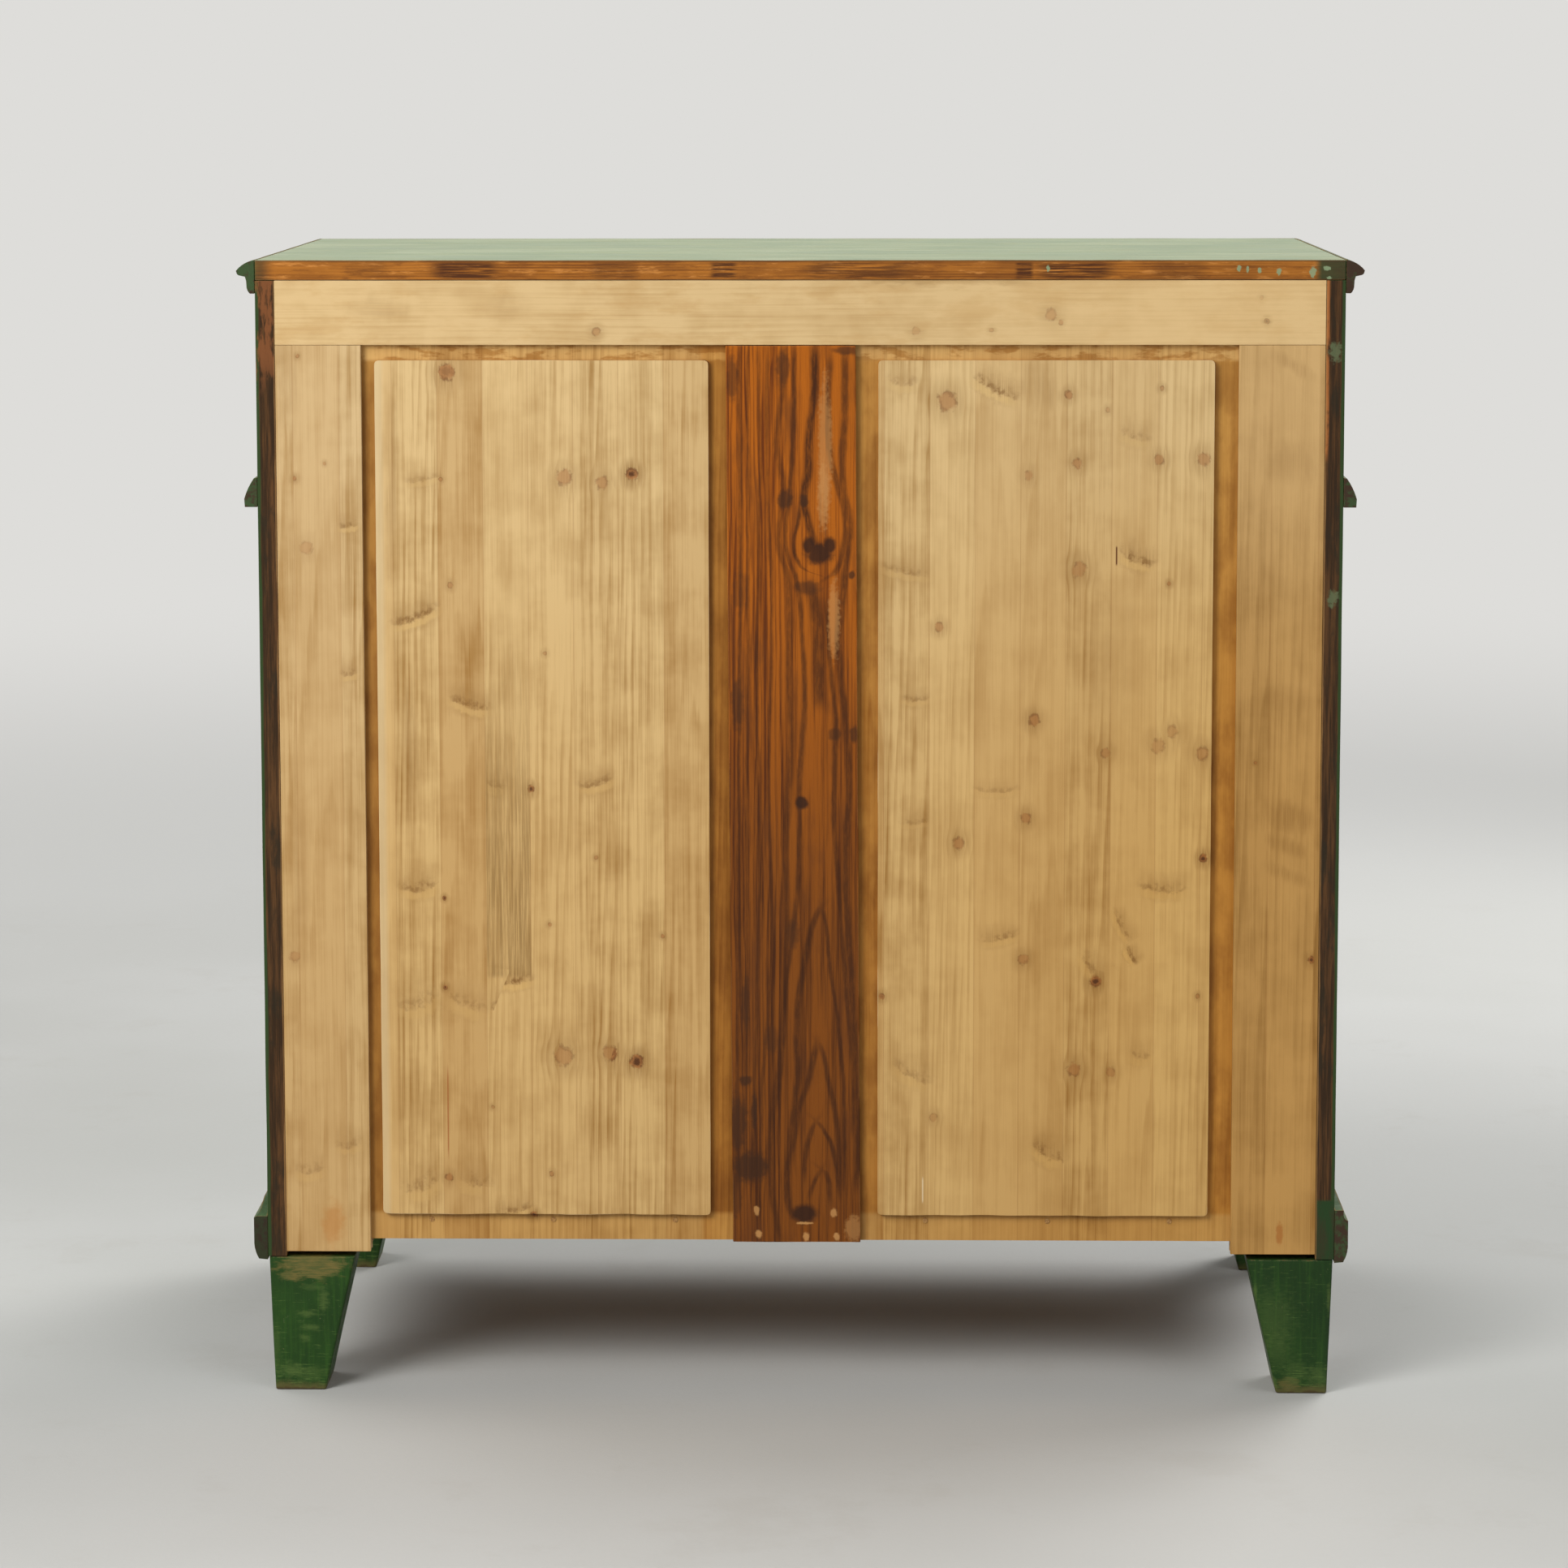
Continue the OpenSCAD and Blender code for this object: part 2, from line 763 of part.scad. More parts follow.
// Nails, each pointing along -Z with its head up before it is turned
module nail() {
    translate([0, 0, -nail_l]) cylinder(r = nail_r, h = nail_l + nail_head_t / 2);
    cylinder(r = nail_head_r, h = nail_head_t);
}

module carcass_nails() {
    nail_z = base_top - 0.4 * base_h;
    panel_nail_z = (bottom_z + panel_z + tongue_foot) / 2;
    side_run = carcass_d - base_chip;
    color(iron) {
        for (i = [0 : nails_front - 1])
            translate([post_in * (2 * i / (nails_front - 1) - 1), y_front - base_out, nail_z])
                rotate([90, 0, 0]) nail();
        for (s = [-1, 1], i = [0 : nails_side - 1])
            translate([s * (half_w + base_out), frame_y + side_run * i / nails_side + post_t, nail_z])
                rotate([0, s * 90, 0]) nail();
        for (s = [-1, 1], i = [0 : nails_panel - 1])
            translate([s * (muntin_w / 2 + (stile_in - muntin_w / 2) * (i + 0.5) / nails_panel),
                       tongue_y1, panel_nail_z])
                rotate([-90, 0, 0]) nail();
    }
}

// Hinges

// Bore for the pin through the whole hinge, about the pin's axis
module pin_bore(z) {
    translate([pin_x, pin_y, z - leaf_h])
        cylinder(r = hinge_pin_r + pin_clear, h = 2 * leaf_h);
}

// Knuckle from z0 to z1 with its strap to the leaf that lies from x0 to x1
module knuckle(x0, x1, z0, z1) {
    translate([pin_x, pin_y, z0]) cylinder(r = knuckle_r, h = z1 - z0);
    block([x0, pin_y, z0], [x1, leaf_y0 + over, z1]);
}

// Screw that points along +X with its head's face at x = 0
module leaf_screw() {
    rotate([0, 90, 0]) cylinder(r = screw_r, h = screw_l);
    rotate([0, 90, 0]) cylinder(r1 = screw_head_r, r2 = screw_r, h = leaf_t);
}

// Places of a leaf's screws, mirrored when they point at the door
module leaf_screws(z, to_door) {
    x = to_door ? door_x1 + leaf_t : post_in - leaf_t;
    for (i = [-1, 0, 1])
        translate([x, screw_y, z + i * screw_step])
            mirror([to_door ? 1 : 0, 0, 0]) leaf_screw();
}

module post_leaf(z) {
    x0 = post_in - leaf_t;
    third = leaf_h / 6;
    difference() {
        union() {
            block([x0, leaf_y0, z - leaf_h / 2], [post_in, leaf_y1, z + leaf_h / 2]);
            knuckle(x0, post_in, z - leaf_h / 2, z - third);
            knuckle(x0, post_in, z + third, z + leaf_h / 2);
        }
        pin_bore(z);
        leaf_screws(z, false);
    }
}

module door_leaf(z) {
    x1 = door_x1 + leaf_t;
    third = leaf_h / 6 - knuckle_gap;
    difference() {
        union() {
            block([door_x1, leaf_y0, z - leaf_h / 2], [x1, leaf_y1, z + leaf_h / 2]);
            knuckle(door_x1, x1, z - third, z + third);
        }
        pin_bore(z);
        leaf_screws(z, true);
    }
}

module hinge_post_leaves() {
    color(iron)
    for (s = [-1, 1], z = hinge_zs) on_side(s) post_leaf(z);
}

module hinge_pins() {
    head = hinge_pin_r + 1;
    color(worn_iron)
    for (s = [-1, 1], z = hinge_zs) on_side(s) translate([pin_x, pin_y, 0]) {
        translate([0, 0, z - leaf_h / 2 - pin_head_h / 2])
            cylinder(r = hinge_pin_r, h = leaf_h + pin_head_h);
        translate([0, 0, z + leaf_h / 2]) cylinder(r = head, h = pin_head_h);
        translate([0, 0, z - leaf_h / 2 - pin_head_h]) cylinder(r = head, h = pin_head_h);
    }
}

module hinge_post_screws() {
    color(worn_iron)
    for (s = [-1, 1], z = hinge_zs) on_side(s) leaf_screws(z, false);
}

module door_hinge_leaves(s) {
    color(iron)
    for (z = hinge_zs) on_side(s) door_leaf(z);
}

// Doors, drawn on the right from the meeting edge at door_x0 to door_x1

module door_rail_tenons(back_off) {
    for (x = [panel_x0, panel_x1]) {
        x0 = x == panel_x0 ? panel_x0 - door_tenon_l : panel_x1 - back_off;
        x1 = x == panel_x0 ? panel_x0 + back_off : panel_x1 + door_tenon_l;
        block([x0, door_groove_0, door_z0 + door_haunch],
              [x1, door_groove_1, door_panel_z0 - door_groove_deep]);
        block([x0, door_groove_0, door_panel_z1 + door_groove_deep],
              [x1, door_groove_1, door_z1 - door_haunch]);
    }
}

// Space in the frame for the panel's tongue
module door_groove() {
    block([panel_x0 - door_groove_deep, door_groove_0, door_panel_z0 - door_groove_deep],
          [panel_x1 + door_groove_deep, door_groove_1, door_panel_z1 + door_groove_deep]);
}

module door_stile(x0) {
    difference() {
        block([x0, y_front, door_z0], [x0 + door_stile_w, door_back, door_z1]);
        door_groove();
        door_rail_tenons(over);
    }
}

module door_hinge_stile(s) {
    color(green_paint) on_side(s) door_stile(panel_x1);
}

module door_rails(s) {
    color(green_paint)
    on_side(s) difference() {
        union() {
            block([panel_x0, y_front, door_z0], [panel_x1, door_back, door_panel_z0]);
            block([panel_x0, y_front, door_panel_z1], [panel_x1, door_back, door_z1]);
            door_rail_tenons(door_tenon_l);
        }
        door_groove();
    }
}

// Panel with a flat back and a bevel round its raised front
module door_panel(s) {
    x0 = panel_x0 + bevel_gap;
    x1 = panel_x1 - bevel_gap;
    z0 = door_panel_z0 + bevel_gap;
    z1 = door_panel_z1 - bevel_gap;
    y0 = door_groove_0 - bevel_d;
    y1 = door_groove_0 + over;
    color(green_paint)
    on_side(s) {
        block([panel_x0 - door_tongue_in, door_groove_0, door_panel_z0 - door_tongue_in],
              [panel_x1 + door_tongue_in, door_groove_1, door_panel_z1 + door_tongue_in]);
        intersection() {
            translate([0, 0, z0]) linear_extrude(z1 - z0) polygon([
                [x0, y1], [x0, door_groove_0], [x0 + bevel_w, y0],
                [x1 - bevel_w, y0], [x1, door_groove_0], [x1, y1]]);
            yz_plate([
                [y1, z0], [door_groove_0, z0], [y0, z0 + bevel_w],
                [y0, z1 - bevel_w], [door_groove_0, z1], [y1, z1]], x0, x1);
        }
    }
}

module left_door_meeting_stile() {
    color(green_paint) on_side(-1) door_stile(door_x0);
}

// Keyhole: a round hole with a slot below it for the bit
module key_space(y0, y1) {
    slot = bit_t / 2 + key_clear;
    y_bar(key_x, key_z, key_hole_r, y0, y1);
    block([key_x - slot, y0, key_z - bit_reach - key_clear], [key_x + slot, y1, key_z]);
}

module right_door_meeting_stile() {
    color(green_paint)
    difference() {
        door_stile(door_x0);
        key_space(y_front - over, door_back + over);
    }
}

// Screw that points along -Y, with its head's face on the plane y
module back_screw(x, y, z, r, head_r, head_t, length) {
    y_bar(x, z, head_r, y, y + head_t);
    y_bar(x, z, r, y - length, y + head_t / 2);
}

module left_door_screws() {
    color(worn_iron) {
        for (z = hinge_zs) on_side(-1) leaf_screws(z, true);
        back_screw(-button_x, button_y1 + runner_clear, button_z,
                   button_pin_r, 2 * button_pin_r, button_head_t,
                   button_y1 + runner_clear - door_back + button_screw_l);
    }
}

module right_door_screws() {
    color(worn_iron) {
        for (z = hinge_zs) leaf_screws(z, true);
        for (p = lock_screw_places())
            back_screw(p[0], case_y1, p[1], screw_r, screw_head_r, lock_screw_head_t, case_t + screw_l / 2);
    }
}

// Lock

function lock_screw_places() = [
    [door_x0 + lock_screw_in, case_z0 + lock_screw_in],
    [case_x1 - lock_screw_in, case_z0 + lock_screw_in],
    [case_x1 - lock_screw_in, case_z1 - lock_screw_in]];

module lock_case() {
    color(iron)
    difference() {
        block([door_x0, door_back, case_z0], [case_x1, case_y1, case_z1]);
        y_bar(key_x, key_z, chamber_r, door_back - over, case_y1 - case_wall);
        block([door_x0 - over, bolt_y0 - bolt_clear, bolt_z0 - bolt_clear],
              [bolt_x1 + over, bolt_y1 + bolt_clear, bolt_z1 + bolt_clear]);
        for (p = lock_screw_places())
            y_bar(p[0], p[1], screw_r, door_back - over, case_y1 + over);
    }
}

module lock_bolt() {
    color(worn_iron)
    block([bolt_x0, bolt_y0, bolt_z0], [bolt_x1, bolt_y1, bolt_z1]);
}

module keyhole_plate() {
    round_z = (plate_h - plate_w) / 2;
    middle_z = key_z - bit_reach / 2;
    color(brass)
    difference() {
        union() {
            y_bar(key_x, middle_z + round_z, plate_w / 2, y_front - plate_t, y_front);
            y_bar(key_x, middle_z - round_z, plate_w / 2, y_front - plate_t, y_front);
            block([key_x - plate_w / 2, y_front - plate_t, middle_z - round_z],
                  [key_x + plate_w / 2, y_front, middle_z + round_z]);
        }
        key_space(y_front - plate_t - over, y_front + over);
    }
}

module key() {
    bow_y = y_front - key_reach + bow_r + bow_wire_r;
    collar_y = y_front - plate_t - 2 * key_clear;
    color(worn_iron) {
        y_bar(key_x, key_z, key_r, bow_y + bow_r, key_y1);
        y_bar(key_x, key_z, key_r * 1.5, collar_y - key_r, collar_y);
        block([key_x - bit_t / 2, bit_y0, key_z - bit_reach], [key_x + bit_t / 2, bit_y1, key_z]);
        translate([key_x, bow_y, key_z]) rotate([0, 90, 0])
            rotate_extrude() translate([bow_r, 0]) circle(r = bow_wire_r);
    }
}

// Turn button, at rest pointing away from the meeting edge
module turn_button() {
    tip_x = -button_x - button_l;
    r = button_w / 2;
    color(inside_pine)
    difference() {
        union() {
            y_bar(-button_x, button_z, r, button_foot_y, button_y1);
            block([tip_x, button_y0, button_z - r], [-button_x, button_y1, button_z + r]);
        }
        y_bar(-button_x, button_z, button_pin_r + pin_clear, door_back - over, button_y1 + over);
    }
}

// Drawers, drawn on the right

module drawer_side(x, side_over) {
    block([x, y_front + drawer_lap, drawer_side_z0 - side_over],
          [x + drawer_side_t, drawer_end_y, drawer_side_z1]);
}

module drawer_floor() {
    block([drawer_x0 + drawer_side_t - drawer_groove, drawer_front_y - drawer_groove, drawer_floor_z],
          [drawer_x1 - drawer_side_t + drawer_groove, drawer_end_y, drawer_floor_z + drawer_bottom_t]);
}

module drawer_front(s) {
    color(green_paint)
    on_side(s) difference() {
        block([drawer_x0, y_front, drawer_z0], [drawer_x1, drawer_front_y, drawer_z1]);
        drawer_side(drawer_x0 - over, drawer_clear);
        drawer_side(drawer_x0, drawer_clear);
        drawer_side(drawer_x1 - drawer_side_t, drawer_clear);
        drawer_side(drawer_x1 - drawer_side_t + over, drawer_clear);
        drawer_floor();
        y_bar(knob_x, knob_z, peg_r, y_front - over, drawer_front_y + over);
    }
}

module drawer_sides(s) {
    color(inside_pine)
    on_side(s) difference() {
        for (x = [drawer_x0, drawer_x1 - drawer_side_t]) drawer_side(x, 0);
        drawer_floor();
    }
}

module drawer_back(s) {
    color(inside_pine)
    on_side(s)
    block([drawer_x0 + drawer_side_t, drawer_end_y - drawer_side_t, drawer_floor_z + drawer_bottom_t],
          [drawer_x1 - drawer_side_t, drawer_end_y, drawer_side_z1 - drawer_back_down]);
}

module drawer_bottom(s) {
    color(inside_pine) on_side(s) drawer_floor();
}

// Turned knob with its peg in the drawer front
module drawer_knob(s) {
    neck_h = 0.3 * knob_reach;
    head_h = 0.62 * knob_reach;
    color(green_paint)
    on_side(s) translate([knob_x, y_front, knob_z]) rotate([90, 0, 0])
        rotate_extrude() polygon(concat(
            [[0, -drawer_front_t], [peg_r, -drawer_front_t], [peg_r, 0], [peg_r + 3, 0], [peg_r + 3, 2]],
            arc([peg_r, neck_h], [0.9 * knob_r, head_h], -2, 4),
            arc([knob_r, head_h + 2], [0, knob_reach], (head_h + 2 - knob_reach) * 0.25, 7)));
}

top_board();
cornice_front();
cornice_returns();
side_board(-1);  // side_left
side_board(1);  // side_right
waist_moulding_front();
waist_moulding_returns();
base_moulding_front();
base_moulding_returns();
bottom_board();
shelf();
front_post(-1);  // front_post_left
front_post(1);  // front_post_right
front_top_rail();
drawer_rail();
drawer_divider();
drawer_runners();
front_bottom_rail();
back_top_rail();
back_stile(-1);  // back_stile_left
back_stile(1);  // back_stile_right
back_muntin();
back_panel(-1);  // back_panel_left
back_panel(1);  // back_panel_right
foot(-1, -1);  // foot_front_left
foot(1, -1);  // foot_front_right
foot(-1, 1);  // foot_back_left
foot(1, 1);  // foot_back_right
corner_blocks();
carcass_nails();
hinge_post_leaves();
hinge_pins();
hinge_post_screws();
door_hinge_stile(-1);  // left_door_hinge_stile
left_door_meeting_stile();
door_rails(-1);  // left_door_rails
door_panel(-1);  // left_door_panel
door_hinge_leaves(-1);  // left_door_hinge_leaves
left_door_screws();
turn_button();
door_hinge_stile(1);  // right_door_hinge_stile
right_door_meeting_stile();
door_rails(1);  // right_door_rails
door_panel(1);  // right_door_panel
door_hinge_leaves(1);  // right_door_hinge_leaves
right_door_screws();
lock_case();
keyhole_plate();
lock_bolt();
key();
drawer_front(-1);  // left_drawer_front
drawer_sides(-1);  // left_drawer_sides
drawer_back(-1);  // left_drawer_back
drawer_bottom(-1);  // left_drawer_bottom
drawer_knob(-1);  // left_drawer_knob
drawer_front(1);  // right_drawer_front
drawer_sides(1);  // right_drawer_sides
drawer_back(1);  // right_drawer_back
drawer_bottom(1);  // right_drawer_bottom
drawer_knob(1);  // right_drawer_knob
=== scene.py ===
import json
import math

import bmesh
import bpy
from mathutils import Matrix, Vector, noise

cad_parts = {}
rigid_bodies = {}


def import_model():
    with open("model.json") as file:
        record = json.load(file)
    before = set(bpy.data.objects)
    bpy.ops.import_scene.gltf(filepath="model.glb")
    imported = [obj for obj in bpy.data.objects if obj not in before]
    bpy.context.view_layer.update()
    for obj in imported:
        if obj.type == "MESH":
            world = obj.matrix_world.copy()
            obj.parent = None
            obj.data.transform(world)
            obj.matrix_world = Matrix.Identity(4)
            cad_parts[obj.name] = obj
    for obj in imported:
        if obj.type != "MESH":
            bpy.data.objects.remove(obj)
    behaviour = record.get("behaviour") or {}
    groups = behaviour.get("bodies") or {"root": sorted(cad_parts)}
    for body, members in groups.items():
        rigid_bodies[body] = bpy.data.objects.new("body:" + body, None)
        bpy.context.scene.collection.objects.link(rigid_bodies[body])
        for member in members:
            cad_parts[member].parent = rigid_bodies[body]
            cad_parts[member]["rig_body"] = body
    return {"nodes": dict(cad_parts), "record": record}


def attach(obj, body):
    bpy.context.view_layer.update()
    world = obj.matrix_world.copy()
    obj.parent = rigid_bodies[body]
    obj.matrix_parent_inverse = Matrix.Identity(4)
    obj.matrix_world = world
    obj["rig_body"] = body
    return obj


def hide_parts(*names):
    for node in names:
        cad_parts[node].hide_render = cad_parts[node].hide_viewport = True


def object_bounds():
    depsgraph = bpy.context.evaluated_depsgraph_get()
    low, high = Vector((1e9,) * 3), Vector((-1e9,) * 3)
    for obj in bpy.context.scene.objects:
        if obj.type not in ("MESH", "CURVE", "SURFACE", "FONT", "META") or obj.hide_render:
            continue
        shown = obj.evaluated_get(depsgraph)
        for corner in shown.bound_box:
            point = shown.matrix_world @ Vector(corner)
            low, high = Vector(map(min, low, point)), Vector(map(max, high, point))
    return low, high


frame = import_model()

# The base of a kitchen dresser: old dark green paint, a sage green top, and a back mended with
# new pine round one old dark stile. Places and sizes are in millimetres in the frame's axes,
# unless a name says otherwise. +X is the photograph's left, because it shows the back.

MM = 0.001
cad_box = [list(corner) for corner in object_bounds()]
BACK = cad_box[1][1] / MM  # the plane of the back's face
FIELD_LOW, FIELD_TOP = 172.5, 981.5  # about the lower and upper edge of the panels' raised fields
FOOT_TOP = 131.0
BOARD_MIDDLE = 1065.0  # half way up the top board's raw edge


# Shapes

def axis_of(index):
    return Vector((index == 0, index == 1, index == 2))


def cut_into_cells(mesh, cell):
    """Cuts the mesh along all three axes, so that every stretch is at most cell long."""
    spans = []
    for axis in range(3):
        places = [v.co[axis] for v in mesh.verts]
        spans.append((max(places) - min(places), axis, min(places)))
    for span, axis, start in sorted(spans, reverse=True):
        count = int(span / (cell * MM))
        for i in range(1, count + 1):
            everything = mesh.verts[:] + mesh.edges[:] + mesh.faces[:]
            bmesh.ops.bisect_plane(mesh, geom=everything, dist=1e-7,
                plane_co=axis_of(axis) * (start + span * i / (count + 1)), plane_no=axis_of(axis))


def sharp_edges(mesh, angle, along=None, inside=None):
    """Outward edges sharper than angle, in degrees, along one axis and inside a box if given."""
    found = []
    for edge in mesh.edges:
        if len(edge.link_faces) != 2 or not edge.is_convex:
            continue
        if math.degrees(edge.calc_face_angle(0)) < angle:
            continue
        run = (edge.verts[1].co - edge.verts[0].co).normalized()
        if along is not None and abs(run[along]) < 0.9:
            continue
        if inside is not None and (not all((inside(v.co / MM) for v in edge.verts))):
            continue
        found.append(edge)
    return found


def round_off(mesh, edges, radius, segments=2):
    made = bmesh.ops.bevel(mesh, geom=edges, offset=radius * MM, segments=segments, profile=0.6,
        affect="EDGES", clamp_overlap=True)
    return {v for face in made["faces"] for v in face.verts}


def face_order(face):
    """A number that puts a mesh's faces in the same order in every run."""
    first, second, third = sorted((v.index for v in face.verts))[:3]
    return (first * 100000 + second) * 100000 + third


def dress(node, skin, edge=1, sharp=40, cell=None, uneven=0, chips=0, seed=0, corners=None,
        bend=None):
    """A worn copy of a CAD node that rides where the node does and stands for it.

    skin is its material, edge is the rounding of its arrises, cell the size of the facets that
    carry the wear, uneven how deep its faces are hollowed, and chips how deep the arrises are
    knocked in.
    """
    source = frame["nodes"][node]
    mesh = bmesh.new()
    mesh.from_mesh(source.data)
    bmesh.ops.remove_doubles(mesh, verts=mesh.verts[:], dist=2e-6)
    bmesh.ops.dissolve_limit(mesh, angle_limit=math.radians(0.4), verts=mesh.verts[:],
        edges=mesh.edges[:])
    if corners:
        round_off(mesh, sharp_edges(mesh, 60, **corners["where"]), corners["radius"], 4)
    arris = set()
    if edge:
        arris = round_off(mesh, sharp_edges(mesh, sharp), edge)
    if cell:
        worn = mesh.verts.layers.int.new("arris")
        for v in arris:
            if v.is_valid:
                v[worn] = 1
        cut_into_cells(mesh, cell)
        mesh.normal_update()
        moves = []
        for v in mesh.verts:
            place = v.co / MM
            depth = uneven * (0.5 + 0.5 * noise.noise(place / 70 + Vector((seed, seed, seed))))
            if v[worn]:
                knock = noise.noise(place / 9 + Vector((seed, 7.3, 0)))
                scrape = noise.noise(place / 55 + Vector((2.1, seed, 0)))
                depth += chips * (max(0, knock - 0.15) * 1.6 + max(0, scrape) * 0.8)
            move = -v.normal * depth
            if bend:
                move += bend(place)
            moves.append(move * MM)
        for v, move in zip(mesh.verts, moves):
            v.co += move
    mesh.verts.index_update()
    mesh.faces.sort(key=face_order)
    shape = bpy.data.meshes.new(node + "_worn")
    mesh.to_mesh(shape)
    mesh.free()
    shape.materials.append(skin)
    shape.shade_smooth()
    shape.set_sharp_from_angle(angle=math.radians(38))
    piece = bpy.data.objects.new(node + "_worn", shape)
    bpy.context.scene.collection.objects.link(piece)
    evening = piece.modifiers.new("even shading", "WEIGHTED_NORMAL")
    evening.keep_sharp = True
    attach(piece, source["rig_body"])
    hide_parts(node)


# Materials

def rgb(red, green, blue):
    """A colour as it is seen, each part from 0 to 255, as a linear colour."""
    parts = (c / 255 for c in (red, green, blue))
    return tuple((((c + 0.055) / 1.055) ** 2.4 if c > 0.04 else c / 12.92 for c in parts)) + (1,)


def in_order(axes, across, deep, along):
    """Sizes across, into and along the grain as x, y, z. axes names those three in turn."""
    size = dict(zip(axes, (across, deep, along)))
    return (size["x"], size["y"], size["z"])


class Value:
    """What comes out of a node of a look. Sums and products of it are nodes too."""

    def __init__(self, look, socket):
        self.look, self.socket = (look, socket)

    def __add__(self, other):
        return self.look.math("ADD", self, other)

    def __radd__(self, other):
        return self.look.math("ADD", other, self)

    def __sub__(self, other):
        return self.look.math("SUBTRACT", self, other)

    def __rsub__(self, other):
        return self.look.math("SUBTRACT", other, self)

    def __mul__(self, other):
        return self.look.math("MULTIPLY", self, other)

    def __rmul__(self, other):
        return self.look.math("MULTIPLY", other, self)

    def __truediv__(self, other):
        return self.look.math("DIVIDE", self, other)

    def __abs__(self):
        return self.look.math("ABSOLUTE", self)

    def step(self, start, end, high=1, low=0):
        """From low to high, softly, as this goes from start to end."""
        return self.look.value("ShaderNodeMapRange",
            {"Value": self, "From Min": start, "From Max": end, "To Min": low, "To Max": high},
            interpolation_type="SMOOTHSTEP")


class Look:
    """A node material in the making. A finish is a colour, a roughness and a height in mm."""

    def __init__(self, name):
        self.material = bpy.data.materials.new(name)
        self.material.use_nodes = True
        self.tree = self.material.node_tree
        self.tree.nodes.clear()
        here = self.add("ShaderNodeTexCoord").outputs
        self.place = self.vector("SCALE", Value(self, here["Object"]), scale=1 / MM)
        self.x, self.y, self.z = self.split(self.place)
        self.nx, self.ny, self.nz = self.split(Value(self, here["Normal"]))
        self.flat = self.join(self.x, 0, self.z)

    def add(self, kind, sockets=None, **settings):
        node = self.tree.nodes.new(kind)
        for name, value in settings.items():
            setattr(node, name, value)
        for key, value in (sockets or {}).items():
            if isinstance(value, Value):
                self.tree.links.new(value.socket, node.inputs[key])
            else:
                node.inputs[key].default_value = value
        return node

    def value(self, kind, sockets=None, output=0, **settings):
        return Value(self, self.add(kind, sockets, **settings).outputs[output])

    def split(self, vector):
        return [
            Value(self, part) for part in self.add("ShaderNodeSeparateXYZ", {0: vector}).outputs]

    def join(self, x, y, z):
        return self.value("ShaderNodeCombineXYZ", {0: x, 1: y, 2: z})

    def math(self, operation, *values):
        return self.value("ShaderNodeMath", dict(enumerate(values)), operation=operation)

    def vector(self, operation, *values, scale=None):
        sockets = dict(enumerate(values))
        if scale is not None:
            sockets["Scale"] = scale
        output = "Value" if operation in ("LENGTH", "DOT_PRODUCT") else "Vector"
        return self.value("ShaderNodeVectorMath", sockets, output, operation=operation)

    def least(self, a, b):
        return self.math("MINIMUM", a, b)

    def most(self, a, b):
        return self.math("MAXIMUM", a, b)

    def noise(self, size, seed, detail=3, rough=0.55):
        """Noise from 0 to 1 about 0.5, with grains of that size in x, y and z."""
        size = size if isinstance(size, tuple) else (size, size, size)
        point = self.vector("MULTIPLY_ADD", self.place, tuple((1 / s for s in size)),
            (seed * 3.7, seed * 5.1, seed * 7.9))
        return self.value("ShaderNodeTexNoise",
            {"Vector": point, "Scale": 1, "Detail": detail, "Roughness": rough})

    def mix(self, share, under, over, mode="MIX"):
        """Colours are values, linear colours, or red, green and blue as in rgb."""
        under, over = (
            rgb(*c) if isinstance(c, tuple) and len(c) == 3 else c for c in (under, over))
        return self.value("ShaderNodeMix", {0: share, 6: under, 7: over}, 2, data_type="RGBA",
            blend_type=mode)

    def coats(self, colour, *coats):
        """The colour under coats of (share, colour), of which the last is on top."""
        for share, over in coats:
            colour = self.mix(share, colour, over)
        return colour

    def between(self, share, under, over):
        return self.value("ShaderNodeMix", {0: share, 2: under, 3: over}, data_type="FLOAT")

    def cover(self, share, under, over):
        """One finish over another, where share is 1."""
        return (self.mix(share, under[0], over[0]), self.between(share, under[1], over[1]),
            self.between(share, under[2], over[2]))

    def arris(self, width):
        """Above 0 near edges and corners, within about that width."""
        rounded = self.value("ShaderNodeBevel", {"Radius": width * MM}, samples=4)
        flat = self.value("ShaderNodeNewGeometry", output="Normal")
        return 1 - self.vector("DOT_PRODUCT", rounded, flat)

    def spot(self, x, z, wide, high, ragged=0.6, grain=9, soft=0.35):
        """1 inside a ragged oval in the back plane, about (x, z), of those half sizes."""
        edge = self.noise(grain, x * 0.01 + z * 0.003, 4, 0.6)
        reach = self.vector("LENGTH", oval(self, x, z, wide, high)) + (edge - 0.5) * (2 * ragged)
        return reach.step(1 + soft, 1 - soft)

    def done(self, finish, metallic=0, shine=0.2):
        colour, roughness, height = finish
        bump = self.value("ShaderNodeBump", {"Height": height, "Distance": MM, "Strength": 1})
        skin = self.value("ShaderNodeBsdfPrincipled",
            {"Base Color": colour, "Roughness": roughness, "Normal": bump, "Metallic": metallic,
                "Specular IOR Level": shine})
        self.add("ShaderNodeOutputMaterial", {"Surface": skin})
        return self.material


def oval(look, x, z, wide, high, tilt=0):
    """Place in the back plane seen from an oval's middle, where its outline is at length 1."""
    return look.value("ShaderNodeMapping",
        {"Vector": look.flat, "Location": (x, 0, z), "Scale": (wide, 1, high),
            "Rotation": (0, math.radians(-tilt), 0)}, vector_type="TEXTURE")


def greatest(look, total, value):
    return value if total is None else look.most(total, value)


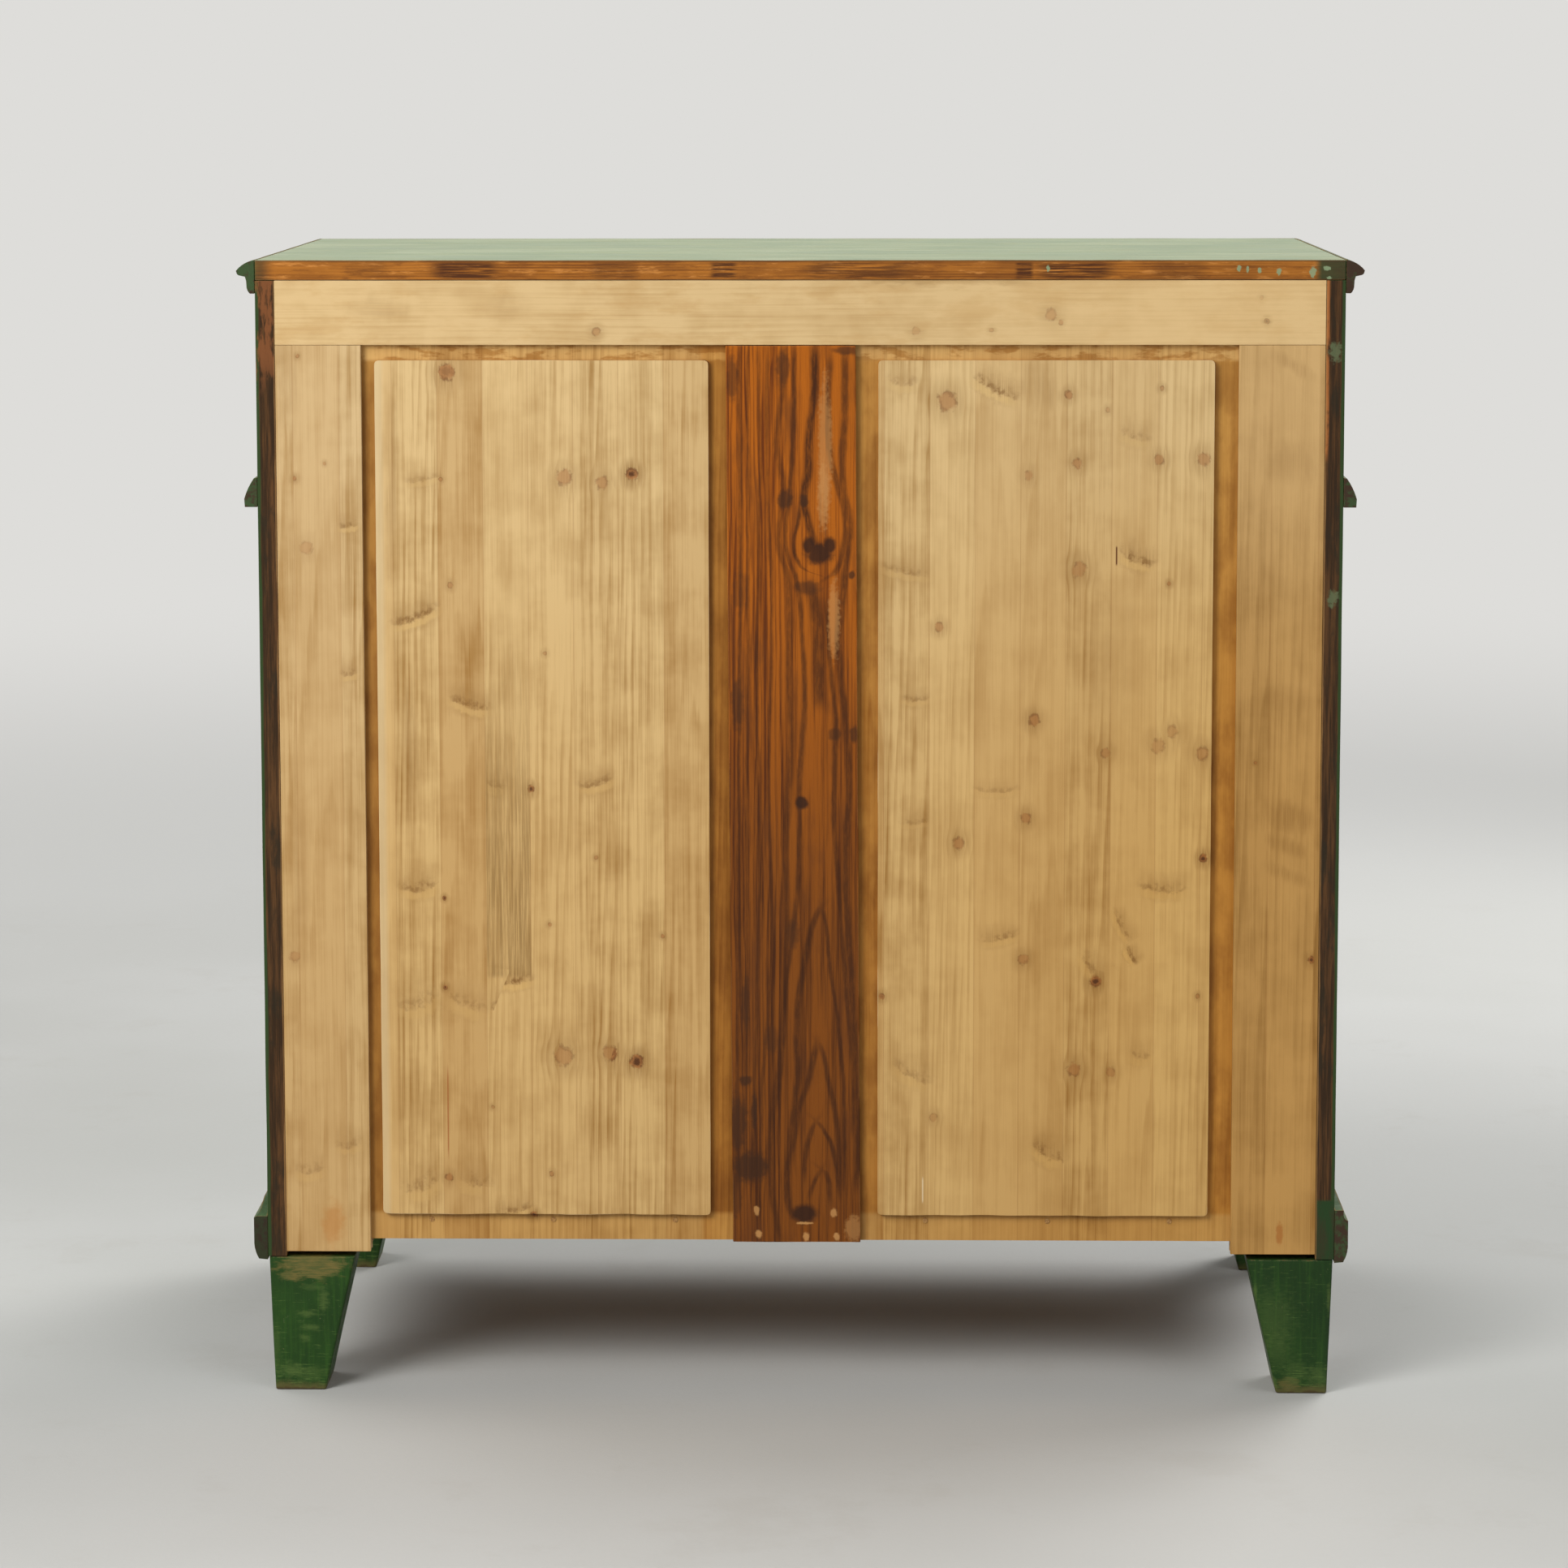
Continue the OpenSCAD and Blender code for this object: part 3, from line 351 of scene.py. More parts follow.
def knots_of(look, rounds, spikes, shades):
    """Masks of the knots, by name, and how far they push the grain aside.

    rounds are (x, z, radius, dark); spikes, cut along a branch, and shades of curly grain are
    (x, z, half width, half height, tilt, dark).
    """
    masks = dict.fromkeys(("core", "rim", "eye", "line", "gold", "shade", "halo", "push"))
    nearest = strength = rise = near = None
    for x, z, radius, dark in rounds:
        away = oval(look, x, z, radius, radius * 1.1)
        reach = look.vector("LENGTH", away)
        nearest = reach if nearest is None else look.least(nearest, reach)
        strength = greatest(look, strength, reach.step(4.4, 3.8, dark))
        if radius > 3:
            fade = look.math("EXPONENT",
                look.math("MULTIPLY_ADD", reach * reach, -0.3, math.log(0.85 * radius)))
            shift = look.vector("SCALE", away, scale=fade)
            masks["push"] = shift if masks["push"] is None else look.vector("ADD", masks["push"],
                shift)
    for x, z, wide, high, tilt, dark in spikes:
        along, _, above = look.split(oval(look, x, z, wide, high, tilt))
        bow = 0.35 + 0.5 * ((x * 0.37 + z * 0.73) % 1)
        one = above + along * along * -bow
        here = abs(along).step(1.3, 0.5, dark) * look.math("LESS_THAN", abs(one), 6)
        rise = one if rise is None else look.between(look.math("GREATER_THAN", here, 0.001), rise,
            one)
        near = greatest(look, near, here)
    ragged = (look.noise(5, 90, 4, 0.65) - 0.5) * 2
    far = (look.noise((14, 14, 40), 91) - 0.5) * 1.6
    breaks = look.noise((5, 5, 7), 92).step(0.4, 0.6)
    if rounds:
        rough = nearest + ragged * 0.7
        rim = abs(rough - 0.95)
        masks["core"] = rough.step(1.2, 0.75) * strength
        masks["rim"] = rim.step(0.4, 0.05) * strength * breaks
        masks["eye"] = rough.step(0.8, 0.3) * strength.step(0.7, 0.95)
        masks["halo"] = (nearest + far).step(3.6, 0.9) * strength
    if spikes:
        rise = rise + ragged
        masks["halo"] = greatest(look, masks["halo"],
            near * rise.step(-2.8, -0.6) * (rise + far).step(4.8, 0.4))
        masks["line"] = near * breaks * rise.step(-0.5, 0.1) * rise.step(1.6, 0.3)
        masks["gold"] = near * rise.step(-2, -1.1) * rise.step(0, -0.6)
    for x, z, wide, high, tilt, dark in shades:
        reach = look.vector("LENGTH", oval(look, x, z, wide, high, tilt))
        masks["shade"] = greatest(look, masks["shade"], (reach + far).step(1.5, 0.3, dark))
    return masks


def pine(look, axes, light, late, spacing=2.7, strength=1, rounds=(), spikes=(), shades=(),
        strips=None, seed=1, straight=True):
    """Bare pine. axes are across, into and along the grain, as in "xyz".

    strips is (first seam, width) across the grain for a board glued up from strips.
    """
    part = {"x": look.x, "y": look.y, "z": look.z}
    across, deep, along = (part[a] for a in axes)
    size = lambda a, d, l: in_order(axes, a, d, l)
    masks = knots_of(look, rounds, spikes, shades)
    if masks["push"] is not None:
        push_x, _, push_z = look.split(masks["push"])
        across = across - (push_x if axes[0] == "x" else push_z)
    if strips:
        strip = look.math("FLOOR", (part[axes[0]] - strips[0]) / strips[1])
        chance = look.value("ShaderNodeTexWhiteNoise", {"W": strip + seed * 9.7}, "Color",
            noise_dimensions="1D")
        first, second, third = look.split(chance)
        middle = strip * strips[1] + strips[0] + first * 90 - 70
        depth = second * 60 + 24
    else:
        middle, depth = (math.sin(seed * 12.9) * 60, 30)
        first = second = third = 0.5
    sway = (look.noise(size(60, 60, 420), seed, 2) - 0.5) * (10 if straight else 30)
    rise = depth + (along - 500) * (0.012 if straight else 0.04)
    off = across - middle + sway
    ring = look.vector("LENGTH", look.join(off, rise + deep * 0.4, 0)) / spacing
    uneven = look.noise(size(13, 13, 300), seed + 2, 2)
    turn = look.math("FRACT", ring + uneven * 1.5)
    latewood = turn.step(0.3, 0.85) * turn.step(1, 0.88)
    plain = look.noise(size(30, 30, 260), seed + 14, 2)
    latewood = latewood * plain.step(0.38, 0.62, low=0.1)
    fibre = look.noise(size(1.2, 1.2, 90), seed + 5, 3, 0.65)
    streak = look.noise(size(5, 5, 420), seed + 8, 3, 0.6)
    cloud = look.noise(size(34, 34, 60), seed + 11)
    ripple = look.noise(size(70, 70, 30), seed + 17)
    share = (
        latewood * (0.36 * strength) + streak.step(0.36, 0.7, low=-0.07, high=0.28 * strength)
        + fibre.step(0.35, 0.7, low=-0.06, high=0.2 * strength)
        + cloud.step(0.32, 0.7, low=-0.12, high=0.28) + ripple.step(0.4, 0.68, low=-0.03, high=0.1))
    colour = look.mix(share, light, late)
    if strips:
        warm = tuple((c * k for c, k in zip(late[:3], (1.12, 1, 0.9)))) + (1,)
        colour = look.mix(first.step(0.1, 0.95, 0.3), colour, warm)
        pale = tuple((min(1, c * 1.08) for c in light[:3])) + (1,)
        colour = look.mix(third.step(0.2, 1, 0.4), colour, pale)
        seam = look.math("PINGPONG", part[axes[0]] - strips[0], strips[1] / 2)
        colour = look.mix(seam.step(0.8, 0.2, 0.24), colour, (150, 108, 62))
    height = fibre * -0.05 + latewood * 0.03
    rough = streak.step(0.3, 0.7, low=0.48, high=0.62)
    hatch = fibre.step(0.6, 0.42, low=0.3)
    if masks["halo"] is not None:
        colour = look.mix(masks["halo"] * hatch * 0.68, colour, (140, 104, 56))
    if masks["shade"] is not None:
        colour = look.mix(masks["shade"] * hatch, colour, (134, 98, 52))
    if masks["line"] is not None:
        colour = look.coats(colour,
            (masks["gold"] * 0.6, (218, 184, 124)),
            (masks["line"] * 0.8, (118, 80, 38)))
    if masks["core"] is not None:
        colour = look.mix(masks["core"] * 0.8, colour, (158, 102, 58))
        height = height + masks["core"] * -0.06
    if masks["eye"] is not None:
        eye = masks["eye"]
        colour = look.coats(colour, (masks["rim"] * 0.7, (96, 58, 32)), (eye * 0.85, (66, 36, 20)))
        rough = look.between(eye, rough, 0.4)
    return (colour, rough, height)


def aged_pine(look, axes, seed=1, dim=1):
    """Old pine that was never painted, as on shelves and drawer sides."""
    light = rgb(176 * dim, 134 * dim, 84 * dim)
    late = rgb(112 * dim, 72 * dim, 36 * dim)
    colour, rough, height = pine(look, axes, light, late, spacing=5.5, strength=1.6, seed=seed,
        straight=False)
    grime = look.noise(120, seed + 20, 5, 0.62)
    colour = look.mix(grime.step(0.5, 0.72, 0.5), colour, (88 * dim, 62 * dim, 40 * dim))
    dust = look.noise(26, seed + 23, 5, 0.7)
    colour = look.mix(dust.step(0.52, 0.75, 0.22), colour, (168, 156, 134))
    return (colour, rough + 0.12, height * 1.6)


def old_green(look, axes, seed=1, tone=(46, 72, 33)):
    """Dark green oil paint: brush marks, thin and thick places, dirt."""
    tint = lambda k, warm=0: rgb(
        *(min(255, c * k + w) for c, w in zip(tone, (warm, warm * 0.6, 0))))
    size = lambda a, d, l: in_order(axes, a, d, l)
    cloud = look.noise(85, seed, 4, 0.6)
    brush = look.noise(size(3.2, 3.2, 120), seed + 2, 4, 0.62)
    blotch = look.noise(17, seed + 4, 6, 0.7)
    speck = look.noise(3.2, seed + 6, 3, 0.7)
    colour = look.mix(cloud.step(0.32, 0.7), tint(0.93), tint(1.1, 3))
    colour = look.coats(colour,
        (brush.step(0.46, 0.74, 0.42), tint(1.42, 10)),
        (blotch.step(0.54, 0.72, 0.3), tint(0.7, 6)),
        (blotch.step(0.44, 0.3, 0.26), tint(1.3, 12)),
        (speck.step(0.66, 0.74, 0.5), (98, 104, 68)))
    rough = blotch.step(0.3, 0.7, low=0.36, high=0.6) + speck.step(0.5, 0.8, 0.1)
    height = brush * 0.16 + blotch * 0.1 + speck * 0.03
    return (colour, rough, height)


def worn_through(look, painted, wood, axes, edge_width=3, amount=1, seed=1):
    """Paint rubbed through to an older dull layer and to the wood, most at the arrises."""
    size = lambda a, d, l: in_order(axes, a, d, l)
    patch = look.noise(size(14, 14, 46), seed + 30, 6, 0.72)
    fine = look.noise(size(2.5, 2.5, 9), seed + 33, 4, 0.7)
    rubbed = look.arris(edge_width).step(0.02, 0.2) * (0.3 * amount) + patch * 0.72 + fine * 0.28
    older = (look.mix(fine.step(0.4, 0.62), (104, 104, 70), (136, 128, 92)),
        fine.step(0.3, 0.7, low=0.5, high=0.66), fine * 0.05)
    finish = look.cover(rubbed.step(0.665, 0.7), painted, older)
    return look.cover(rubbed.step(0.705, 0.75), finish, wood)


MATERIALS = {}


def material(name, make):
    if name not in MATERIALS:
        look = Look(name)
        MATERIALS[name] = look.done(*make(look))
    return MATERIALS[name]


# Boards of the back, with their knots where the photograph shows them

LEFT_IMAGE_ROUNDS = [
    (328, 971, 7, 0.8), (219, 873, 6.5, 0.6), (184, 868, 5.5, 0.5), (156, 876, 4.8, 1),
    (334, 871, 1.8, 0.6), (326, 772, 2.5, 0.5), (238, 708, 1.8, 0.5), (334, 476, 1.8, 0.9),
    (334, 391, 2, 0.9), (223, 325, 8.5, 0.5), (179, 328, 6.5, 0.5), (154, 320, 6, 1),
    (332, 208, 3.5, 0.7), (235, 212, 2.2, 0.6), (191, 515, 1.8, 0.6), (235, 451, 1.8, 0.6),
    (129, 440, 1.8, 0.7), (290, 276, 1.8, 0.5), (252, 580, 3.2, 0.9), (252, 172, 3, 1)]
LEFT_IMAGE_SPIKES = [
    (350, 870, 17, 3.5, -10, 0.35), (358, 741, 22, 5, -22, 0.8), (309, 658, 20, 5, 16, 0.7),
    (285, 582, 9, 5, 15, 0.5), (190, 584, 17, 5, -14, 0.6), (358, 484, 18, 6, -8, 0.6),
    (273, 395, 21, 4.5, -4, 0.9), (358, 374, 20, 8, -20, 0.4), (314, 374, 20, 7, 22, 0.4),
    (357, 198, 18, 8, -25, 0.5), (307, 202, 16, 7, 15, 0.45), (273, 175, 20, 4, -8, 0.7)]
RIGHT_IMAGE_ROUNDS = [
    (-137, 944, 8, 0.6), (-250, 950, 3.5, 0.7), (-336, 956, 2, 0.6), (-286, 936, 2.2, 0.4),
    (-334, 890, 4.5, 0.6), (-375, 890, 6, 0.6), (-258, 886, 4.5, 0.6), (-213, 875, 4, 0.5),
    (-260, 787, 6.5, 0.5), (-344, 774, 1.8, 0.6), (-130, 733, 3.8, 0.6), (-219, 646, 5, 0.65),
    (-348, 635, 5, 0.4), (-286, 615, 4, 0.5), (-335, 622, 6, 0.4), (-376, 615, 5.5, 0.5),
    (-212, 553, 4.5, 0.6), (-149, 529, 5, 0.6), (-378, 515, 3.6, 1), (-210, 419, 4.5, 0.55),
    (-374, 384, 2, 0.6), (-77, 383, 2.6, 0.8), (-258, 313, 5.8, 0.6), (-293, 311, 4, 0.5),
    (-126, 267, 3.5, 0.4), (-278, 398, 4.6, 1)]
RIGHT_IMAGE_SPIKES = [
    (-95, 960, 14, 5, 8, 0.4), (-181, 954, 23, 5, 27, 0.8), (-311, 910, 15, 5, 18, 0.4),
    (-98, 784, 22, 4, 12, 0.4), (-313, 795, 17, 5, 24, 0.8), (-108, 664, 13, 3.5, 0, 0.45),
    (-184, 578, 21, 3.5, 0, 0.35), (-108, 548, 14, 3.5, -4, 0.35), (-340, 484, 22, 5, 4, 0.6),
    (-188, 438, 18, 4, -12, 0.6), (-301, 450, 17, 3.5, 65, 0.6), (-310, 422, 9, 3, 60, 0.9),
    (-320, 325, 11, 5, 8, 0.4), (-104, 307, 20, 6, 30, 0.45), (-233, 231, 17, 6, 28, 0.7),
    (-271, 412, 14, 5, 60, 0.5)]
RAIL_ROUNDS = [
    (188, 1008, 3.5, 0.5), (-233, 1024, 5, 0.6), (-242, 1017, 2, 0.7), (-108, 1009, 3.5, 0.4),
    (-178, 1010, 2, 0.5), (-427, 1040, 2, 0.5), (-432, 1018, 2.2, 1)]
NEW_LIGHT, NEW_LATE = rgb(208, 178, 127), rgb(152, 114, 60)


def new_pine(look, axes, light, late, **rest):
    """New pine, which is yellower low down and by the photograph's right."""
    colour, rough, height = pine(look, axes, light, late, **rest)
    sideways = look.x.step(60, -430, 0.5) * look.z.step(980, 700)
    share = look.z.step(990, 420, 0.6) + sideways
    golden = look.mix(1, colour, (242, 227, 195), mode="MULTIPLY")
    return (look.mix(share, colour, golden), rough, height)


def panel_face(look, finish):
    """A panel's raised field with a painted highlight on its arris, and its browner tongues: wood
    and painted shade.
    """
    colour, rough, height = finish
    # Painted highlight: the field's rounded arris is lightened where light would catch it.
    arris = look.ny.step(0.995, 0.93) * look.ny.step(0.1, 0.35) * look.y.step(BACK - 5, BACK - 3.5)
    colour = look.mix(arris * 0.45, colour, (238, 216, 174))
    stain = look.noise((20, 20, 50), 95, 4)
    stained = stain.step(0.36, 0.66)
    brown = look.mix(stained, (212, 184, 134), (184, 152, 104))
    brown = look.mix(look.x.step(5, -5), brown, look.mix(stained, (233, 203, 146), (202, 168, 114)))
    blot = look.noise((26, 10, 9), 96, 4).step(0.48, 0.6)
    brown = look.coats(brown,
        (look.z.step(FIELD_TOP - 2.5, FIELD_TOP + 2.5),
            look.mix(blot, (250, 234, 204), (214, 184, 140))),
        (look.z.step(FIELD_LOW + 3.5, FIELD_LOW - 2.5), (240, 226, 200)))
    # Painted shade: the tongues beside the muntin are darkened further, as the narrow recess there
    # lies in shade.
    shade_beside_muntin = look.x.step(96, 88) * look.x.step(0, 5)
    brown = look.mix(shade_beside_muntin, brown, look.mix(1, brown, (246, 230, 200), mode="MULTIPLY"))
    # The recessed tongues are browned: partly their own older wood, partly painted shade of the
    # narrow recess by the stiles and muntin; the upper and lower tongues less so.
    low = look.y.step(BACK - 2, BACK - 4.5)
    return (look.mix(low, colour, look.mix(1, colour, brown, mode="MULTIPLY")), rough, height)


def left_image_panel(look):
    colour, rough, height = new_pine(look, "xyz", NEW_LIGHT, NEW_LATE, rounds=LEFT_IMAGE_ROUNDS,
        spikes=LEFT_IMAGE_SPIKES, shades=[(364, 610, 8, 60, 0, 0.4), (380, 860, 6, 90, 0, 0.35)],
        strips=(84.4, 42.1), seed=2)
    drift = look.noise((16, 16, 60), 98, 4) * 160
    grey = look.x.step(252.4, 253) * look.x.step(294.6, 294) * look.z.step(398, 404) * (
        look.z + drift).step(860, 560)
    hatch = look.noise((1.3, 1.3, 70), 99, 4, 0.7).step(0.62, 0.38, low=0.2)
    colour = look.mix(grey * hatch * 0.78, colour, (136, 104, 58))
    # Painted highlight: a pale band along the field's rounded edge next to the stile.
    band = look.x.step(385, 391, 0.3)
    colour = look.mix(band * look.y.step(BACK - 5, BACK - 3), colour, (206, 192, 158))
    resin = abs(look.x - 332.5).step(1, 0.4) * look.z.step(222, 240) * look.z.step(322, 300)
    colour = look.mix(resin * 0.7, colour, (150, 84, 40))
    return (panel_face(look, (colour, rough, height)),)


def right_image_panel(look):
    colour, rough, height = new_pine(look, "xyz", NEW_LIGHT, NEW_LATE, rounds=RIGHT_IMAGE_ROUNDS,
        spikes=RIGHT_IMAGE_SPIKES,
        shades=[(-220, 960, 14, 22, 0, 0.3), (-230, 952, 10, 16, 0, 0.3),
            (-290, 700, 26, 70, 8, 0.2)], strips=(-417.3, 42.3), seed=4)
    slit = abs(look.x + 295).step(1, 0.4) * abs(look.z - 800).step(10, 7)
    colour = look.mix(slit, colour, (96, 56, 28))
    scratch = abs(look.x + 116).step(0.9, 0.4) * abs(look.z - 197).step(14, 9)
    colour = look.mix(scratch * 0.5, colour, (230, 214, 180))
    return (panel_face(look, (colour, rough, height)),)


def rail_look(look):
    colour, rough, height = new_pine(look, "zyx", rgb(205, 175, 126), rgb(170, 134, 82),
        spacing=5.2, strength=0.5, rounds=RAIL_ROUNDS,
        shades=[(390, 1028, 28, 12, 0, 0.25), (269, 1032, 20, 12, 0, 0.2)], seed=3)
    ragged = look.noise((20, 9, 5), 97, 4) * 20
    mottle = look.noise((46, 12, 16), 94, 4, 0.6)
    colour = look.mix(mottle.step(0.46, 0.68, 0.4), colour, (184, 146, 92))
    grey = look.x.step(-224, -190) * look.x.step(-44, -80) * (look.z + ragged).step(1058, 1066)
    colour = look.coats(colour,
        (grey * 0.4, (140, 108, 64)),
        (look.x.step(0, -430, 0.35), (230, 194, 136)))
    return ((colour, rough, height),)


def left_image_stile(look):
    colour, rough, height = new_pine(look, "xyz", rgb(204, 176, 130), rgb(154, 118, 66), spacing=3,
        rounds=[(460, 807, 5.5, 0.35), (442, 886, 1.5, 0.5), (470, 872, 2, 0.7),
            (466, 986, 1.6, 0.6), (476, 420, 5, 0.4)],
        spikes=[(420, 827, 9, 3.5, -8, 0.6), (421, 688, 8, 4, -10, 0.5),
            (464, 213, 14, 6, -8, 0.35), (426, 238, 12, 5, -10, 0.35)],
        shades=[(474, 975, 8, 60, 0, 0.3), (470, 500, 8, 70, 0, 0.25)], strips=(385.5, 42.8),
        seed=6)
    patch = look.spot(442, 163, 9, 18, ragged=0.9, soft=0.6)
    return ((look.mix(patch * 0.55, colour, (176, 116, 54)), rough, height),)


def right_image_stile(look):
    colour, rough, height = new_pine(look, "xyz", rgb(190, 155, 103), rgb(134, 100, 50), spacing=3,
        rounds=[(-480, 419, 3, 0.9), (-426, 606, 1.5, 0.7)],
        shades=[(-456, 978, 24, 6, 30, 0.5), (-458, 888, 22, 18, 15, 0.4),
            (-456, 666, 20, 12, 10, 0.3), (-458, 556, 22, 12, 22, 0.5), (-458, 526, 22, 7, 22, 0.4),
            (-458, 500, 22, 7, 22, 0.4)], strips=(-482, 43.5), seed=8)
    colour = look.mix(look.z.step(720, 960, 0.25), colour, (222, 182, 124))
    patch = look.spot(-453, 156, 3, 10, ragged=0.6, grain=4)
    return ((look.mix(patch * 0.7, colour, (160, 98, 42)), rough, height),)


# Dark lines of the middle stile's grain: half width, darkness, and (height, x) from the top down
MUNTIN_LINES = [
    (3.6, 0.9, [(994, -13), (954, -14), (916, -9), (880, -8), (851, -4), (836, -7), (808, -15)]),
    (3, 0.6, [(994, 15), (954, 16), (906, 21), (860, 15), (814, 19), (778, 11), (693, 10),
                (617, 8), (532, 13), (430, 12), (341, 17), (264, 26), (226, 28), (149, 19)]),
    (2.2, 0.7, [(992, 5), (911, 6), (860, 9), (814, 13), (796, 10), (779, 3), (732, -2), (668, -5),
                (589, 0), (507, 1), (445, 6), (392, 13), (315, 18), (277, 22)]),
    (1.6, 0.8, [(849, 0), (834, 1), (808, 5), (796, 2), (785, -8)]),
    (2.8, 0.7, [(985, -29), (906, -28), (870, -34), (829, -43), (808, -41), (790, -36),
    (779, -26)]),
    (3.2, 0.75, [(990, -42), (936, -42), (870, -40), (824, -47), (783, -42), (706, -37), (655, -42),
                 (589, -46), (507, -43), (430, -47), (353, -51), (277, -55), (200, -54)]),
    (2.2, 0.7, [(757, -24), (681, -30), (642, -34), (604, -33), (558, -32), (494, -36), (404, -43),
                (302, -50), (251, -51)]),
    (6, 0.75, [(774, -9), (742, -16), (698, -18), (660, -19)]),
    (3, 0.75, [(468, -20), (456, -14), (430, -7), (404, -2), (341, 3), (315, 2), (277, 5),
                 (238, 10), (192, 12), (172, 7)]),
    (1.7, 0.7, [(467, -21), (450, -25), (417, -28), (341, -38), (277, -42), (200, -42)]),
    (2.6, 0.7, [(339, -16), (320, -12), (302, -8), (277, 0), (226, 8)]),
    (2.4, 0.7, [(339, -17), (320, -24), (302, -27), (251, -36), (200, -38)]),
    (2.2, 0.75, [(263, -15), (249, -9), (226, -5), (208, -4)]),
    (2.2, 0.75, [(263, -16), (254, -23), (236, -31), (195, -37)]),
    (2.2, 0.7, [(217, -20), (203, -13), (191, -9)]),
    (2.2, 0.7, [(217, -21), (205, -27), (185, -29)]),
    (2, 0.6, [(990, 56), (800, 55), (600, 57), (400, 58), (200, 60)]),
    (1.6, 0.5, [(990, 48), (800, 48), (600, 49), (400, 50), (200, 52)]),
    (1.8, 0.5, [(990, 38), (860, 37), (700, 40), (500, 38), (330, 42), (200, 45)]),
    (1.6, 0.5, [(990, 29), (880, 30), (760, 26), (600, 29), (430, 27), (300, 35), (170, 38)])]
LINE_LOW, LINE_TALL, LINE_LEFT, LINE_WIDE = 140, 870, -70, 140


def grain_line(look, height, across, half_width, dark, points):
    """A dark line of grain through the points, fading out at its ends."""
    node = look.add("ShaderNodeFloatCurve", {"Value": height})
    curve = node.mapping.curves[0]
    spots = sorted((((z - LINE_LOW) / LINE_TALL, (x - LINE_LEFT) / LINE_WIDE) for z, x in points))
    curve.points[0].location, curve.points[1].location = (spots[0], spots[-1])
    for spot in spots[1:-1]:
        curve.points.new(*spot)
    node.mapping.update()
    away = abs(across - Value(look, node.outputs[0]))
    wide = half_width / LINE_WIDE
    line = away.step(wide * 1.7, wide * 0.35, dark)
    fade = 12 / LINE_TALL
    return line * height.step(spots[0][0] - fade, spots[0][0] + fade) * height.step(
        spots[-1][0] + fade, spots[-1][0] - fade)


def muntin_look(look):
    """The old middle stile: strong grain that parts round one large knot and arches below it."""
    wobble = look.noise((9, 9, 34), 3, 4, 0.62)
    sway = (wobble - 0.5) * 4.5
    across = (look.x + sway - LINE_LEFT) / LINE_WIDE
    height = (look.z - LINE_LOW) / LINE_TALL
    lines = None
    for half_width, dark, points in MUNTIN_LINES:
        lines = greatest(look, lines, grain_line(look, height, across, half_width, dark, points))
    long_sway = (look.noise((30, 30, 300), 2, 2) - 0.5) * 16
    ring = (look.x + long_sway) / 4.6
    turn = look.math("FRACT", ring + look.noise((7, 7, 160), 5) * 1.6)
    late = turn.step(0.25, 0.8) * turn.step(1, 0.88)
    late = late * look.x.step(2, 26, low=0.25)
    fibre = look.noise((1.1, 1.1, 60), 4, 4, 0.7)
    streak = look.noise((5, 5, 260), 6, 4, 0.62)
    light = look.mix(look.z.step(380, 900), (121, 66, 14), (167, 90, 15))
    dark = look.mix(look.z.step(380, 900), (66, 32, 8), (98, 45, 8))
    colour = look.mix(
        late * 0.55 + streak.step(0.42, 0.68, low=-0.1, high=0.6)
        + fibre.step(0.35, 0.7, low=-0.16, high=0.3), light, dark)
    cloud = look.noise((24, 24, 110), 8, 4, 0.6)
    colour = look.mix(cloud.step(0.5, 0.72, 0.55), colour, (86, 46, 18))
    breaks = look.noise((5, 5, 20), 12, 4, 0.7).step(0.3, 0.6, low=0.6)
    colour = look.mix(lines * breaks, colour, (50, 24, 8))
    for x, z, wide, high, share in [
            (13, 853, 7, 9, 0.75), (-4, 851, 4, 6, 0.8), (15, 975, 6, 16, 0.6),
            (62, 966, 5, 20, 0.6), (55, 766, 7, 20, 0.4), (58, 660, 6, 22, 0.6),
            (51, 376, 4, 22, 0.6), (27, 341, 6, 14, 0.45), (51, 302, 6, 5, 0.8),
            (43, 272, 3, 16, 0.8), (58, 262, 8, 26, 0.7), (47, 219, 17, 14, 0.85),
            (6, 444, 6, 14, 0.5), (-33, 632, 6, 6, 0.6), (-51, 632, 4, 7, 0.7),
            (-44, 991, 12, 4, 0.7), (-8, 770, 12, 6, 0.6), (60, 190, 5, 20, 0.5),
            (-49, 782, 3, 4, 0.8)]:
        stain = look.spot(x, z, wide, high, grain=7)
        colour = look.mix(stain * share, colour, (56, 32, 16))
    knot = look.most(look.spot(-19, 802, 13, 10, ragged=0.35, grain=6),
        look.most(look.spot(-9, 809, 6, 8, ragged=0.3), look.spot(-28, 809, 6, 8, ragged=0.3)))
    knot = look.most(knot,
        look.most(look.spot(-2, 567, 6, 6, ragged=0.4), look.spot(-4, 174, 11, 9, ragged=0.4)))
    colour = look.mix(knot * 0.92, colour, (46, 24, 12))
    for x, z, wide, high, share in [(-32, 740, 5, 34, 0.45), (-24, 900, 6, 60, 0.4),
            (-22, 855, 5, 30, 0.4), (41, 177, 2.6, 4, 0.7), (-32, 175, 3, 4, 0.7),
            (39, 154, 3, 3.5, 0.8), (-6, 152, 2.6, 4, 0.8), (-35, 152, 2.6, 3.5, 0.8),
            (-5, 165, 7, 1.3, 0.8), (-51, 160, 8, 12, 0.4)]:
        pale = look.spot(x, z, wide, high, ragged=0.8, grain=4)
        colour = look.mix(pale * share, colour, (186, 136, 80))
    colour = look.mix(look.arris(1.6).step(0.03, 0.2) * 0.45, colour, (190, 132, 70))
    rough = streak.step(0.3, 0.7, low=0.46, high=0.64)
    relief = fibre * -0.12 + lines * 0.12 + knot * -0.3
    return ((colour, rough, relief),)


# Painted parts

